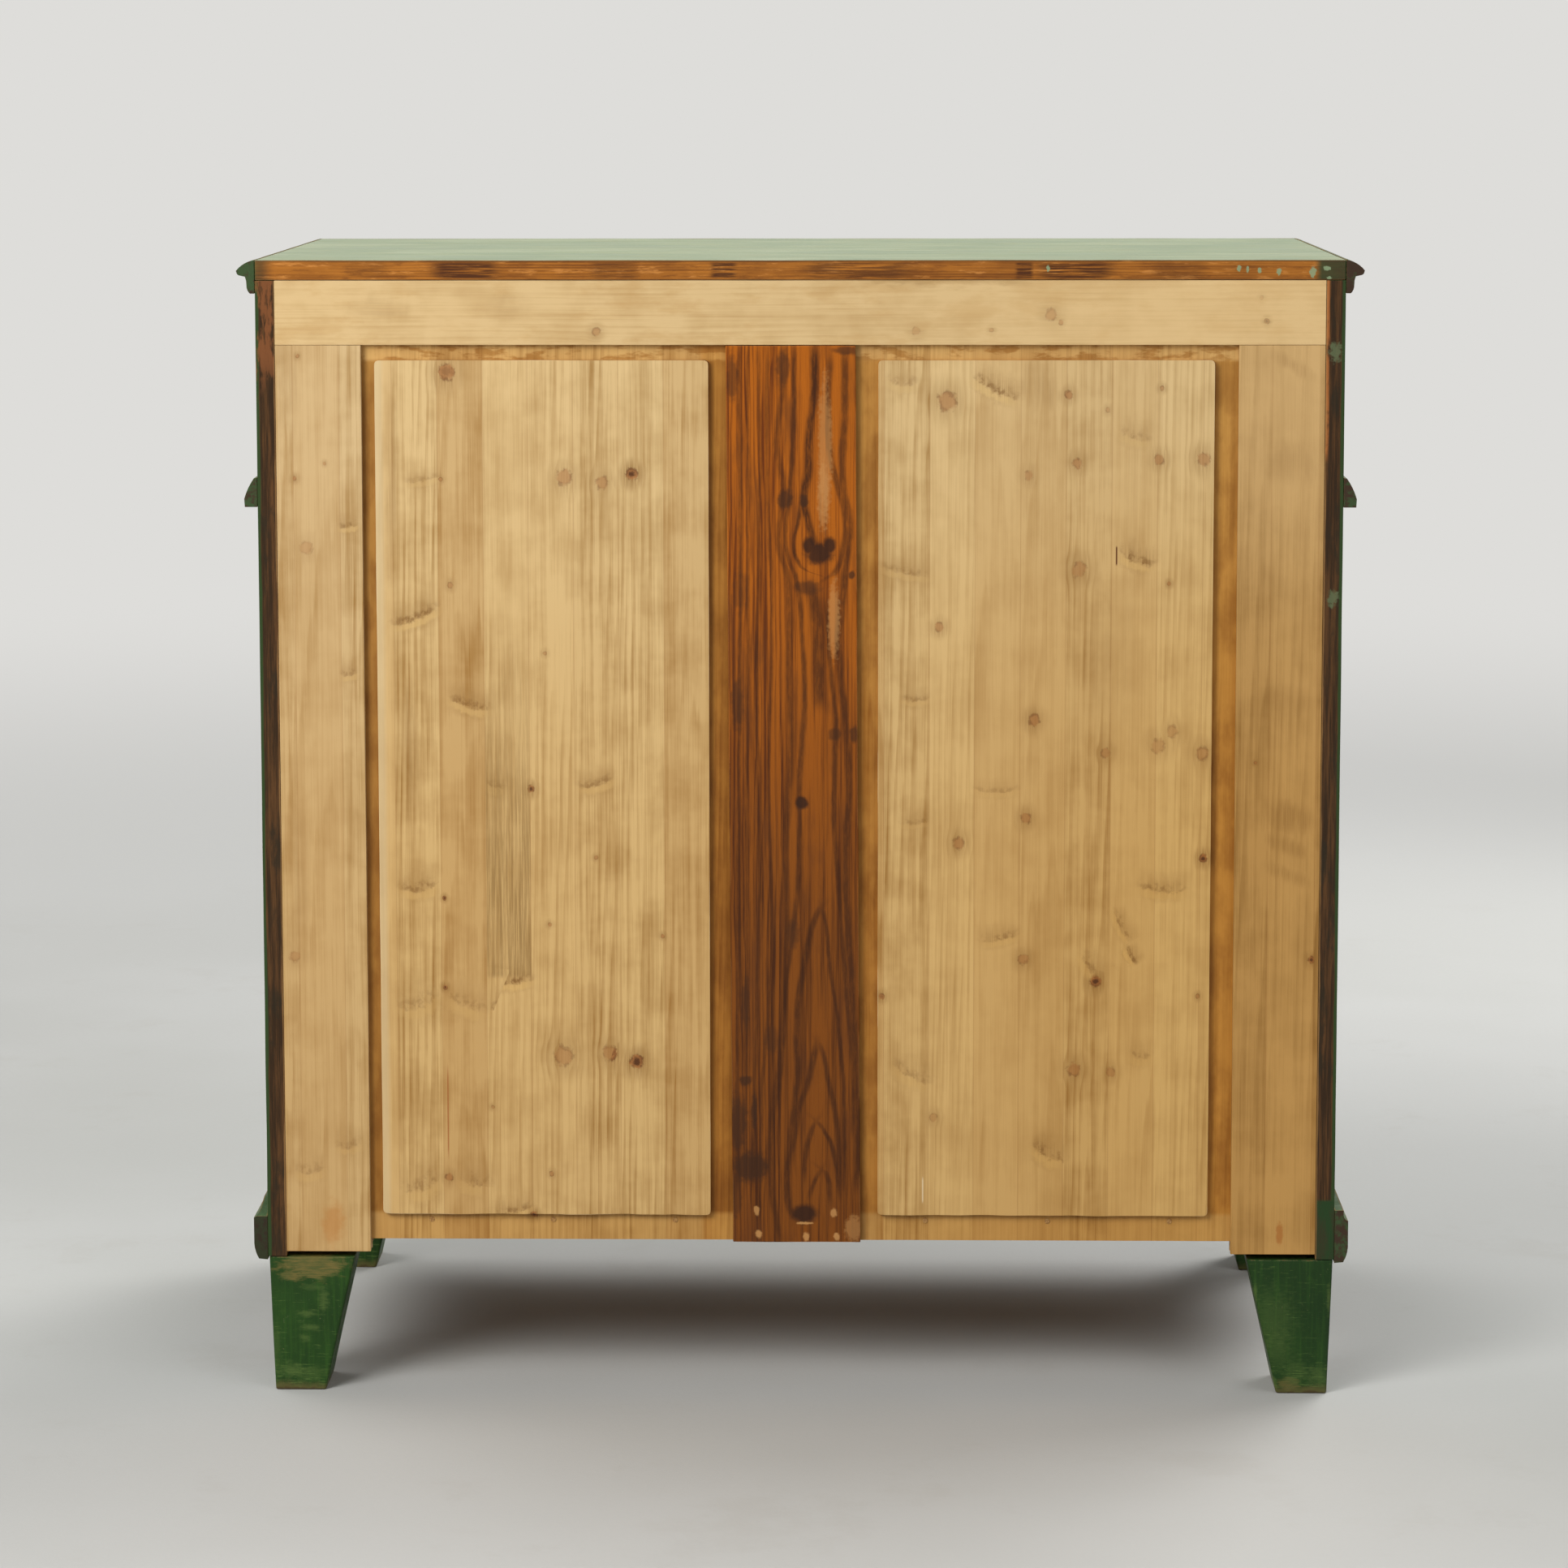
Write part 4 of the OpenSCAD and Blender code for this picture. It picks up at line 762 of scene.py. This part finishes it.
def green_look(axes, seed, bare=None, amount=1, tone=(46, 72, 33)):
    """Green paint, worn. bare is a function of the look, and 1 where nothing was ever painted."""
    def make(look):
        wood = aged_pine(look, axes, seed)
        finish = worn_through(look, old_green(look, axes, seed, tone), wood, axes, amount=amount,
            seed=seed)
        if bare:
            finish = look.cover(bare(look), finish, aged_pine(look, axes, seed + 1, dim=0.95))
        return (finish,)
    return make


LEFT_IMAGE_SMUDGES = [
    (453, 88, 4, 9, 0.6), (469, 75, 8, 3, 0.6), (465, 61, 8, 2.5, 0.6), (471, 51, 5, 3, 0.5),
    (463, 101, 9, 2.5, 0.4), (486, 20, 9, 6, 0.6), (466, 16, 14, 6, 0.4), (498, 40, 3, 20, 0.3)]
RIGHT_IMAGE_SMUDGES = [
    (-448, 72, 17, 24, 0.32), (-452, 42, 12, 16, 0.25), (-431, 99, 1.4, 10, 0.6),
    (-449, 10, 3, 6, 0.9), (-501, 93, 2, 12, 0.6), (-492, 16, 10, 9, 0.5), (-470, 22, 9, 10, 0.35)]


def foot_look(seed, bare, smudges, tone):
    """A foot: darker green, scratched across, and rubbed at the floor.

    bare and smudges are (x, z, half width, half height, share) of olive wood showing through and
    of grey or yellow-green wear on the paint.
    """
    def make(look):
        wood = aged_pine(look, "xyz", seed, dim=0.8)
        painted = old_green(look, "xyz", seed, tone=tone)
        colour, rough, height = worn_through(look, painted, wood, "xyz", amount=0.7, seed=seed)
        scratch = look.noise((18, 18, 1.5), seed + 6, 4, 0.7) + look.z.step(50, 5, 0.07)
        colour = look.mix(scratch.step(0.6, 0.7, 0.5), colour, (92, 116, 58))
        for x, z, wide, high, share in bare:
            mark = look.spot(x, z, wide, high, ragged=1, grain=(9, 9, 3.5))
            olive = look.mix(scratch.step(0.4, 0.6), (110, 98, 52), (82, 86, 44))
            colour = look.mix(mark * share, colour, olive)
        for x, z, wide, high, share in smudges:
            mark = look.spot(x, z, wide, high, ragged=1.5, grain=(6, 6, 2.2), soft=0.8)
            colour = look.mix(mark * share * 0.55, colour, (98, 118, 60))
        ragged = look.z + look.noise(12, seed + 3, 5) * 12
        colour = look.coats(colour,
            (ragged.step(17, 8) * 0.6, (104, 92, 54)),
            (ragged.step(9, 6.5) * 0.7, (70, 54, 34)))
        return ((colour, rough, height),)
    return make


def side_look(sign):
    """Painted outside, bare inside, and a brown back edge with a thin green outer margin."""
    def make(look):
        wood = aged_pine(look, "yxz", 21 + sign, dim=0.95)
        painted = worn_through(look, old_green(look, "yxz", 22 + sign), wood, "yxz", amount=0.8,
            seed=23 + sign)
        inside = (look.nx * sign).step(0, -0.3)
        finish = look.cover(inside, painted, wood)
        streak = look.noise((3, 3, 90), 31 + sign, 5, 0.7)
        blotch = look.noise((12, 12, 46), 33 + sign, 5, 0.65)
        brown = look.mix(streak.step(0.4, 0.66), (47, 31, 15), (86, 57, 30))
        brown = look.mix(blotch.step(0.5, 0.66, 0.7), brown, (38, 32, 20))
        outward = look.x * sign
        outer = outward + look.noise((9, 9, 60), 35, 4) * 3 - 1.5
        brown = look.mix(outer.step(501, 502.6), brown, (44, 62, 30))
        if sign < 0:
            rusty = look.z.step(885, 900) * outer.step(491, 489)
            brown = look.mix(rusty * blotch.step(0.36, 0.5), brown, (158, 96, 48))
            for z, high in [(990, 9), (760, 7)]:
                mark = look.spot(-496, z, 5, high, ragged=1.3, grain=4)
                brown = look.mix(mark * 0.7, brown, (96, 108, 76))
            brown = look.mix(look.z.step(190, 187), brown,
                look.mix(blotch.step(0.4, 0.62), (34, 58, 28), (48, 50, 28)))
        else:
            rusty = look.z.step(935, 990) * blotch.step(0.5, 0.6)
            brown = look.mix(rusty * 0.75, brown, (126, 76, 42))
        brown = look.mix(outer.step(488.6, 487.6) * 0.5, brown, (168, 126, 76))
        edge = (brown, 0.6, streak * 0.15 + blotch * 0.1)
        return (look.cover(look.ny.step(0.4, 0.8), finish, edge),)
    return make


# Dark streaks on the top board's raw back edge: middle, half length, share
EDGE_STREAKS = [
    (309, 38, 0.95), (172, 26, 0.6), (70, 15, 0.95), (-55, 64, 0.75), (-208, 10, 0.95),
    (-256, 42, 0.95), (400, 24, 0.3), (-350, 30, 0.35)]
# Drips of the sage paint over that edge: x, z, half width, half height
EDGE_DRIPS = [
    (-230, 1067, 2, 3.5), (-406, 1067, 2.2, 4), (-414, 1066, 1.6, 4), (-425, 1065, 2, 3.5),
    (-443, 1064, 2.6, 4.5), (-474, 1063, 3.4, 7.5), (-487, 1067, 4, 3), (-489, 1058, 2.6, 1.8)]


def top_look(look):
    """Sage green paint on top, rubbed in streaks; a raw back edge with stains and drips."""
    wood = aged_pine(look, "yzx", 41)
    streak = look.noise((170, 5, 5), 42, 5, 0.65)
    cloud = look.noise((140, 60, 60), 43, 5, 0.6)
    speck = look.noise(4, 44, 4, 0.7)
    sage = look.mix(cloud.step(0.36, 0.66), (131, 145, 113), (158, 166, 136))
    sage = look.coats(sage,
        (streak.step(0.48, 0.66, 0.6), (110, 128, 90)),
        (streak.step(0.46, 0.34, 0.5), (190, 194, 170)),
        (speck.step(0.62, 0.72, 0.4), (196, 196, 176)))
    worn = look.noise((50, 26, 26), 45, 5, 0.68)
    sage = look.mix(worn.step(0.5, 0.66, 0.4), sage, (150, 152, 116))
    painted = (sage, cloud.step(0.3, 0.7, low=0.4, high=0.58), streak * 0.12 + speck * 0.04)
    rub = look.arris(4).step(0.02, 0.2) * 0.16 + streak * 0.6 + speck * 0.3
    cream = (rgb(206, 196, 164), 0.6, speck * 0.05)
    finish = look.cover(rub.step(0.56, 0.62), painted, cream)
    finish = look.cover(rub.step(0.63, 0.68), finish, wood)
    raw = pine(look, "zyx", rgb(166, 103, 36), rgb(114, 65, 22), spacing=2.6, strength=1.4, seed=46)
    fine = look.noise((60, 9, 1.7), 48, 5, 0.65)
    edge = look.mix(fine.step(0.54, 0.68, 0.45), raw[0], (112, 64, 26))
    patchy = look.noise((34, 9, 6), 49, 5, 0.68)
    edge = look.coats(edge,
        (patchy.step(0.52, 0.66, 0.6), (110, 62, 22)),
        (patchy.step(0.46, 0.34, 0.6), (200, 134, 66)))
    near = None
    for x, wide, share in EDGE_STREAKS:
        away = abs(look.x - x)
        near = greatest(look, near, away.step(wide, wide * 0.5, share))
    middle = abs(look.z - BOARD_MIDDLE).step(8.5, 6)
    edge = look.mix(near * middle * fine.step(0.38, 0.54), edge, (70, 37, 17))
    ends = look.most(look.x.step(485, 500, 0.7), look.x.step(-474, -483, 0.95))
    edge = look.mix(ends, edge, look.mix(cloud.step(0.4, 0.6), (54, 38, 26), (52, 62, 36)))
    for x, z, wide, high in EDGE_DRIPS:
        drip = look.spot(x, z, 0.8 * wide, 0.75 * high, ragged=0.9, grain=2.5, soft=0.2)
        edge = look.mix(drip * 0.85, edge, (134, 152, 116))
    edge = look.mix(look.z.step(1072.6, 1073.8, 0.6), edge, (74, 48, 26))
    back = (edge, raw[1], raw[2] * 1.6)
    finish = look.cover(look.ny.step(0.5, 0.85), finish, back)
    green = old_green(look, "zyx", 47)
    sides = look.most(look.ny.step(-0.4, -0.8), abs(look.nx).step(0.4, 0.8))
    finish = look.cover(sides, finish, green)
    return (look.cover(look.nz.step(-0.4, -0.8), finish, wood),)


def returns_look(look):
    """The mouldings along the two sides: green, with dark brown and dull green back ends."""
    wood = aged_pine(look, "zxy", 13)
    colour, rough, height = worn_through(look, old_green(look, "zxy", 13), wood, "zxy", amount=1.1,
        seed=13)
    blotch = look.noise(7, 14, 5, 0.7)
    browner = blotch + look.x.step(200, -200, low=-0.3) * look.z.step(1000, 1020, low=0.2) * 0.14
    end = look.mix(browner.step(0.42, 0.6), (54, 72, 42), (58, 42, 30))
    black = look.x.step(-1, 1) * look.z.step(186, 178)
    end = look.mix(black * 0.7, end, (40, 32, 22))
    at_end = look.ny.step(0.4, 0.8) * look.y.step(BACK - 29, BACK - 23)
    return ((look.mix(at_end, colour, end), rough, height),)


def nail_look(look):
    """Dark iron, with the heads in the back's lower tongues filled and toned like the pine."""
    finish, metallic, shine = iron_look((74, 68, 62), 0.7, 71)(look)
    filled = look.y.step(BACK - 23, BACK - 19)
    speck = look.noise(2, 77)
    filler = (look.mix(speck.step(0.4, 0.6), (172, 130, 72), (142, 100, 52)), 0.6, 0)
    return (look.cover(filled, finish, filler), look.between(filled, metallic, 0), shine)


def iron_look(tone, rust, seed):
    def make(look):
        cloud = look.noise(9, seed, 5, 0.65)
        grain = look.noise(1.2, seed + 1, 4, 0.7)
        colour = look.mix(cloud.step(0.35, 0.7), rgb(*tone), rgb(*(c * 0.6 for c in tone)))
        rusty = (cloud + grain * 0.4).step(0.7, 0.86, rust)
        colour = look.mix(rusty, colour, (96, 54, 30))
        rough = grain.step(0.3, 0.7, low=0.38, high=0.56) + rusty * 0.3
        return ((colour, rough, grain * 0.08), 0.75, 0.5)
    return make


def brass_look(look):
    cloud = look.noise(11, 61, 5, 0.65)
    grain = look.noise(1, 62, 3, 0.7)
    colour = look.mix(cloud.step(0.35, 0.68), (182, 146, 84), (96, 74, 42))
    colour = look.mix(look.arris(1.5).step(0.02, 0.2, 0.6), colour, (214, 184, 120))
    return ((colour, cloud.step(0.3, 0.7, low=0.28, high=0.5), grain * 0.05), 0.9, 0.5)


# Every node: its material, and how its copy is worn

def facing_back(look):
    """1 on faces that look backwards."""
    return look.ny.step(0.35, 0.7)


def all_but_front(look):
    """1 on all but the face to the front."""
    return look.ny.step(-0.35, -0.7, low=1, high=0)


def painted(name, axes, seed, bare=facing_back, **rest):
    return material(name, green_look(axes, seed, bare, **rest))


def inside_pine(axes):
    return material("inside pine " + axes, lambda look: (aged_pine(look, axes, 64),))


SLOTS = {part["node"]: part["material_slot"] for part in frame["record"]["subparts"]}
BOARD = dict(edge=1.2, cell=14, uneven=0.4, chips=0.8)
MOULDING = dict(edge=0.6, sharp=50, cell=14, uneven=0.25, chips=0.9)
NEW_BOARD = dict(edge=0.7, cell=14, uneven=0.25, chips=0.3)
HARD = dict(edge=0.25, sharp=50)


def field_corners(x0, x1):
    """The upright corners of a panel's raised field."""
    return dict(radius=5, where=dict(along=1, inside=lambda p: (
        x0 < p.x < x1 and FIELD_LOW - 7.5 < p.z < FIELD_TOP + 8.5 and p.y > BACK - 24)))


def foot_sole():
    """The upright corners of a foot near the floor, which are worn round."""
    return dict(radius=3.5, where=dict(along=2, inside=lambda p: p.z < FOOT_TOP + 0.5))


def wavy_foot(seed):
    """The panel's field has a hand-cut lower edge."""
    def bend(place):
        if abs(place.z - FIELD_LOW) > 3 or place.y < BACK - 9:
            return Vector((0, 0, 0))
        wave = noise.noise(Vector((place.x / 38, seed, 0)))
        wave += 0.4 * noise.noise(Vector((place.x / 9, seed, 3)))
        return Vector((0, 0, 1.3 * wave))
    return bend


def board(name, skin):
    dress(name, skin, seed=len(name), **BOARD)


dress("top_board", material("top paint", top_look),
      edge=1.8, cell=12, uneven=0.5, chips=1.6, seed=1)
for band in ("cornice", "waist_moulding", "base_moulding"):
    dress(band + "_front", painted("green mouldings in front", "zyx", 11, bare=None, amount=1.1),
        seed=len(band), **MOULDING)
    dress(band + "_returns", material("green mouldings on the sides", returns_look),
        seed=len(band) + 1, **MOULDING)
for side, sign in [("left", -1), ("right", 1)]:
    dress("side_" + side, material("green side " + side, side_look(sign)), edge=1, cell=14,
        uneven=0.4, chips=0.7, seed=3 + sign)
for name, skin, look_of, seed in [
        ("back_stile_left", "new pine stile_left", right_image_stile, 5),
        ("back_stile_right", "new pine stile_right", left_image_stile, 7),
        ("back_top_rail", "new pine rail", rail_look, 9)]:
    dress(name, material(skin, look_of), seed=seed, **NEW_BOARD)
dress("back_muntin", material("old pine muntin", muntin_look),
      edge=1.6, cell=9, uneven=0.9, chips=1.2, seed=10)
for side, look_of, seed, x0, x1 in [
        ("right", left_image_panel, 2, 60, 410),
        ("left", right_image_panel, 4, -400, -60)]:
    dress("back_panel_" + side, material("glued pine panel_" + side, look_of), edge=2.6, cell=9,
        uneven=0.3, chips=0.4, seed=seed, corners=field_corners(x0, x1), bend=wavy_foot(seed))
for i, (place, bare, smudges, tone) in enumerate([
        ("front_left", (), (), (32, 60, 21)), ("front_right", (), (), (32, 60, 21)),
        ("back_left", [(-464, 10, 9, 6, 0.7)], RIGHT_IMAGE_SMUDGES, (26, 53, 19)),
        ("back_right", [(463, 122, 30, 13, 0.95), (486, 112, 8, 4, 0.7)],
         LEFT_IMAGE_SMUDGES, (31, 60, 21))]):
    dress("foot_" + place, material("green foot %d" % i, foot_look(51 + i, bare, smudges, tone)),
        edge=1.6, cell=7, uneven=0.6, chips=1.6, seed=12 + i, corners=foot_sole())
for name in ("front_post_left", "front_post_right", "drawer_divider"):
    board(name, painted("green frame xyz", "xyz", 15))
for name in ("front_top_rail", "drawer_rail", "front_bottom_rail"):
    board(name, painted("green frame zyx", "zyx", 17))
for side in ("left", "right"):
    for part, kind, axes in [("hinge_stile", "xyz", "xyz"), ("meeting_stile", "xyz", "xyz"),
            ("rails", "zyx", "zyx"), ("panel", "panel", "xyz")]:
        board(side + "_door_" + part, painted("green door " + kind, axes, 22))
    board(side + "_drawer_front", painted("green drawer", "zyx", 25, bare=all_but_front))
    for part, axes in [("sides", "zxy"), ("back", "zyx"), ("bottom", "yzx")]:
        board(side + "_drawer_" + part, inside_pine(axes))
    dress(side + "_drawer_knob", painted("green knob", "xzy", 27, bare=None, amount=1.5), edge=0)
for name, axes in [("bottom_board", "yzx"), ("shelf", "yzx"), ("drawer_runners", "zxy"),
        ("corner_blocks", "xyz"), ("turn_button", "yzx")]:
    board(name, inside_pine(axes))
METALS = {"dark_iron": material("dark iron", iron_look((74, 68, 62), 0.7, 71)),
          "worn_iron": material("worn iron", iron_look((120, 112, 102), 0.5, 74)),
          "old_brass": material("old brass", brass_look)}
for name, slot in SLOTS.items():
    if name == "carcass_nails":
        dress(name, material("nail iron", nail_look), **HARD)
    elif slot in METALS:
        dress(name, METALS[slot], **HARD)


# Studio

BACKDROP = rgb(222, 221, 218)


def seen_directly(tree):
    """1 for what the camera sees, also in a mirror or through glass, and 0 for light itself."""
    path = tree.nodes.new("ShaderNodeLightPath")
    total = path.outputs["Is Camera Ray"]
    for other in ("Is Glossy Ray", "Is Transmission Ray"):
        node = tree.nodes.new("ShaderNodeMath")
        node.operation = "MAXIMUM"
        tree.links.new(total, node.inputs[0])
        tree.links.new(path.outputs[other], node.inputs[1])
        total = node.outputs[0]
    return total


def floor_look(look):
    """Pale matt screed that passes into the backdrop's colour further off."""
    cloud = look.noise(1400, 81, 4, 0.55)
    grain = look.noise(5, 82, 5, 0.7)
    stain = look.noise(160, 83, 6, 0.65)
    away = look.vector("LENGTH", look.join(look.x, look.y, 0))
    near = away.step(3600, 1200)
    colour = look.mix(cloud.step(0.36, 0.66) * near, (187, 187, 184), (179, 179, 175))
    colour = look.mix(stain.step(0.56, 0.7, 0.2) * near, colour, (170, 167, 160))
    return ((colour, grain.step(0.3, 0.7, low=0.7, high=0.85), grain * 0.2), 0, 0.1)


def fade_into_backdrop(material, start, end):
    """Beyond start, in metres from the middle, the floor is seen in the backdrop's colour."""
    tree = material.node_tree
    out = next(n for n in tree.nodes if n.type == "OUTPUT_MATERIAL")
    lit = out.inputs["Surface"].links[0].from_socket
    place = tree.nodes.new("ShaderNodeTexCoord").outputs["Object"]
    reach = tree.nodes.new("ShaderNodeVectorMath")
    reach.operation = "LENGTH"
    tree.links.new(place, reach.inputs[0])
    ramp = tree.nodes.new("ShaderNodeMapRange")
    ramp.interpolation_type = "SMOOTHERSTEP"
    ramp.inputs["From Min"].default_value, ramp.inputs["From Max"].default_value = start, end
    tree.links.new(reach.outputs["Value"], ramp.inputs["Value"])
    share = tree.nodes.new("ShaderNodeMath")
    share.operation = "MULTIPLY"
    tree.links.new(ramp.outputs[0], share.inputs[0])
    tree.links.new(seen_directly(tree), share.inputs[1])
    glow = tree.nodes.new("ShaderNodeEmission")
    glow.inputs["Color"].default_value = BACKDROP
    choice = tree.nodes.new("ShaderNodeMixShader")
    tree.links.new(share.outputs[0], choice.inputs[0])
    tree.links.new(lit, choice.inputs[1])
    tree.links.new(glow.outputs[0], choice.inputs[2])
    tree.links.new(choice.outputs[0], out.inputs["Surface"])


def sun(name, place, strength, spread=50.0):
    """A soft lamp far off in the direction of place."""
    light = bpy.data.lights.new(name, "SUN")
    light.energy, light.angle = strength, math.radians(spread)
    holder = bpy.data.objects.new(name, light)
    holder.rotation_euler = (-Vector(place)).to_track_quat("-Z", "Y").to_euler()
    bpy.context.scene.collection.objects.link(holder)


def panel_lamp(name, place, aim, size, power):
    """A near lamp, kept out of reflections: over the top board its mirror image would burn out."""
    light = bpy.data.lights.new(name, "AREA")
    light.shape, light.size, light.energy = "DISK", size, power
    holder = bpy.data.objects.new(name, light)
    holder.location = place
    holder.rotation_euler = (Vector(aim) - Vector(place)).to_track_quat("-Z", "Y").to_euler()
    holder.visible_glossy = False
    bpy.context.scene.collection.objects.link(holder)


bpy.ops.mesh.primitive_circle_add(vertices=96, radius=30, fill_type="NGON", location=(0, 0, 0))
floor = bpy.context.object
floor.name = "studio_floor"
floor.data.materials.append(material("studio floor", floor_look))
fade_into_backdrop(MATERIALS["studio floor"], 1.6, 7.0)

world = bpy.data.worlds.new("studio")
bpy.context.scene.world = world
world.use_nodes = True
tree = world.node_tree
tree.nodes.clear()
ambient = tree.nodes.new("ShaderNodeBackground")
ambient.inputs["Color"].default_value = (1.0, 1.0, 1.0, 1.0)
ambient.inputs["Strength"].default_value = 0.22
backdrop = tree.nodes.new("ShaderNodeBackground")
backdrop.inputs["Color"].default_value = BACKDROP
backdrop.inputs["Strength"].default_value = 1.0
choice = tree.nodes.new("ShaderNodeMixShader")
tree.links.new(seen_directly(tree), choice.inputs[0])
tree.links.new(ambient.outputs[0], choice.inputs[1])
tree.links.new(backdrop.outputs[0], choice.inputs[2])
out = tree.nodes.new("ShaderNodeOutputWorld")
tree.links.new(choice.outputs[0], out.inputs["Surface"])

sun("key by the photograph's upper left", (1.0, 1.3, 1.35), 1.0, 35.0)
sun("fill by the photograph's right", (-1.1, 1.1, 1.0), 0.55, 40.0)
sun("front key", (-1.1, -1.3, 1.9), 1.25, 35.0)
sun("front fill", (1.3, -1.0, 1.6), 0.75, 40.0)
panel_lamp("near key", (1.7, 2.3, 1.9), (0.1, 0.2, 0.8), 1.4, 50)
panel_lamp("near front key", (-1.7, -2.3, 1.9), (-0.1, -0.2, 0.8), 1.4, 36)

# Camera, fitted to the corners of the back in the photograph

camera = bpy.data.objects.new("camera", bpy.data.cameras.new("camera"))
camera.data.sensor_width = 36
camera.data.lens = 109.5
camera.data.shift_y = -0.1035
camera.data.clip_end = 200
right = Vector((-0.999833, -0.018292, -0.001179))
up = Vector((0.000961, -0.116517, 0.993188))
forward = Vector((0.018304, -0.993020, -0.116515))
turn = Matrix((right, up, -forward)).transposed()
camera.matrix_world = Matrix.Translation((-0.0670, 4.7052, 1.2563)) @ turn.to_4x4()
bpy.context.scene.collection.objects.link(camera)
bpy.context.scene.camera = camera
bpy.context.scene.view_settings.view_transform = "Standard"
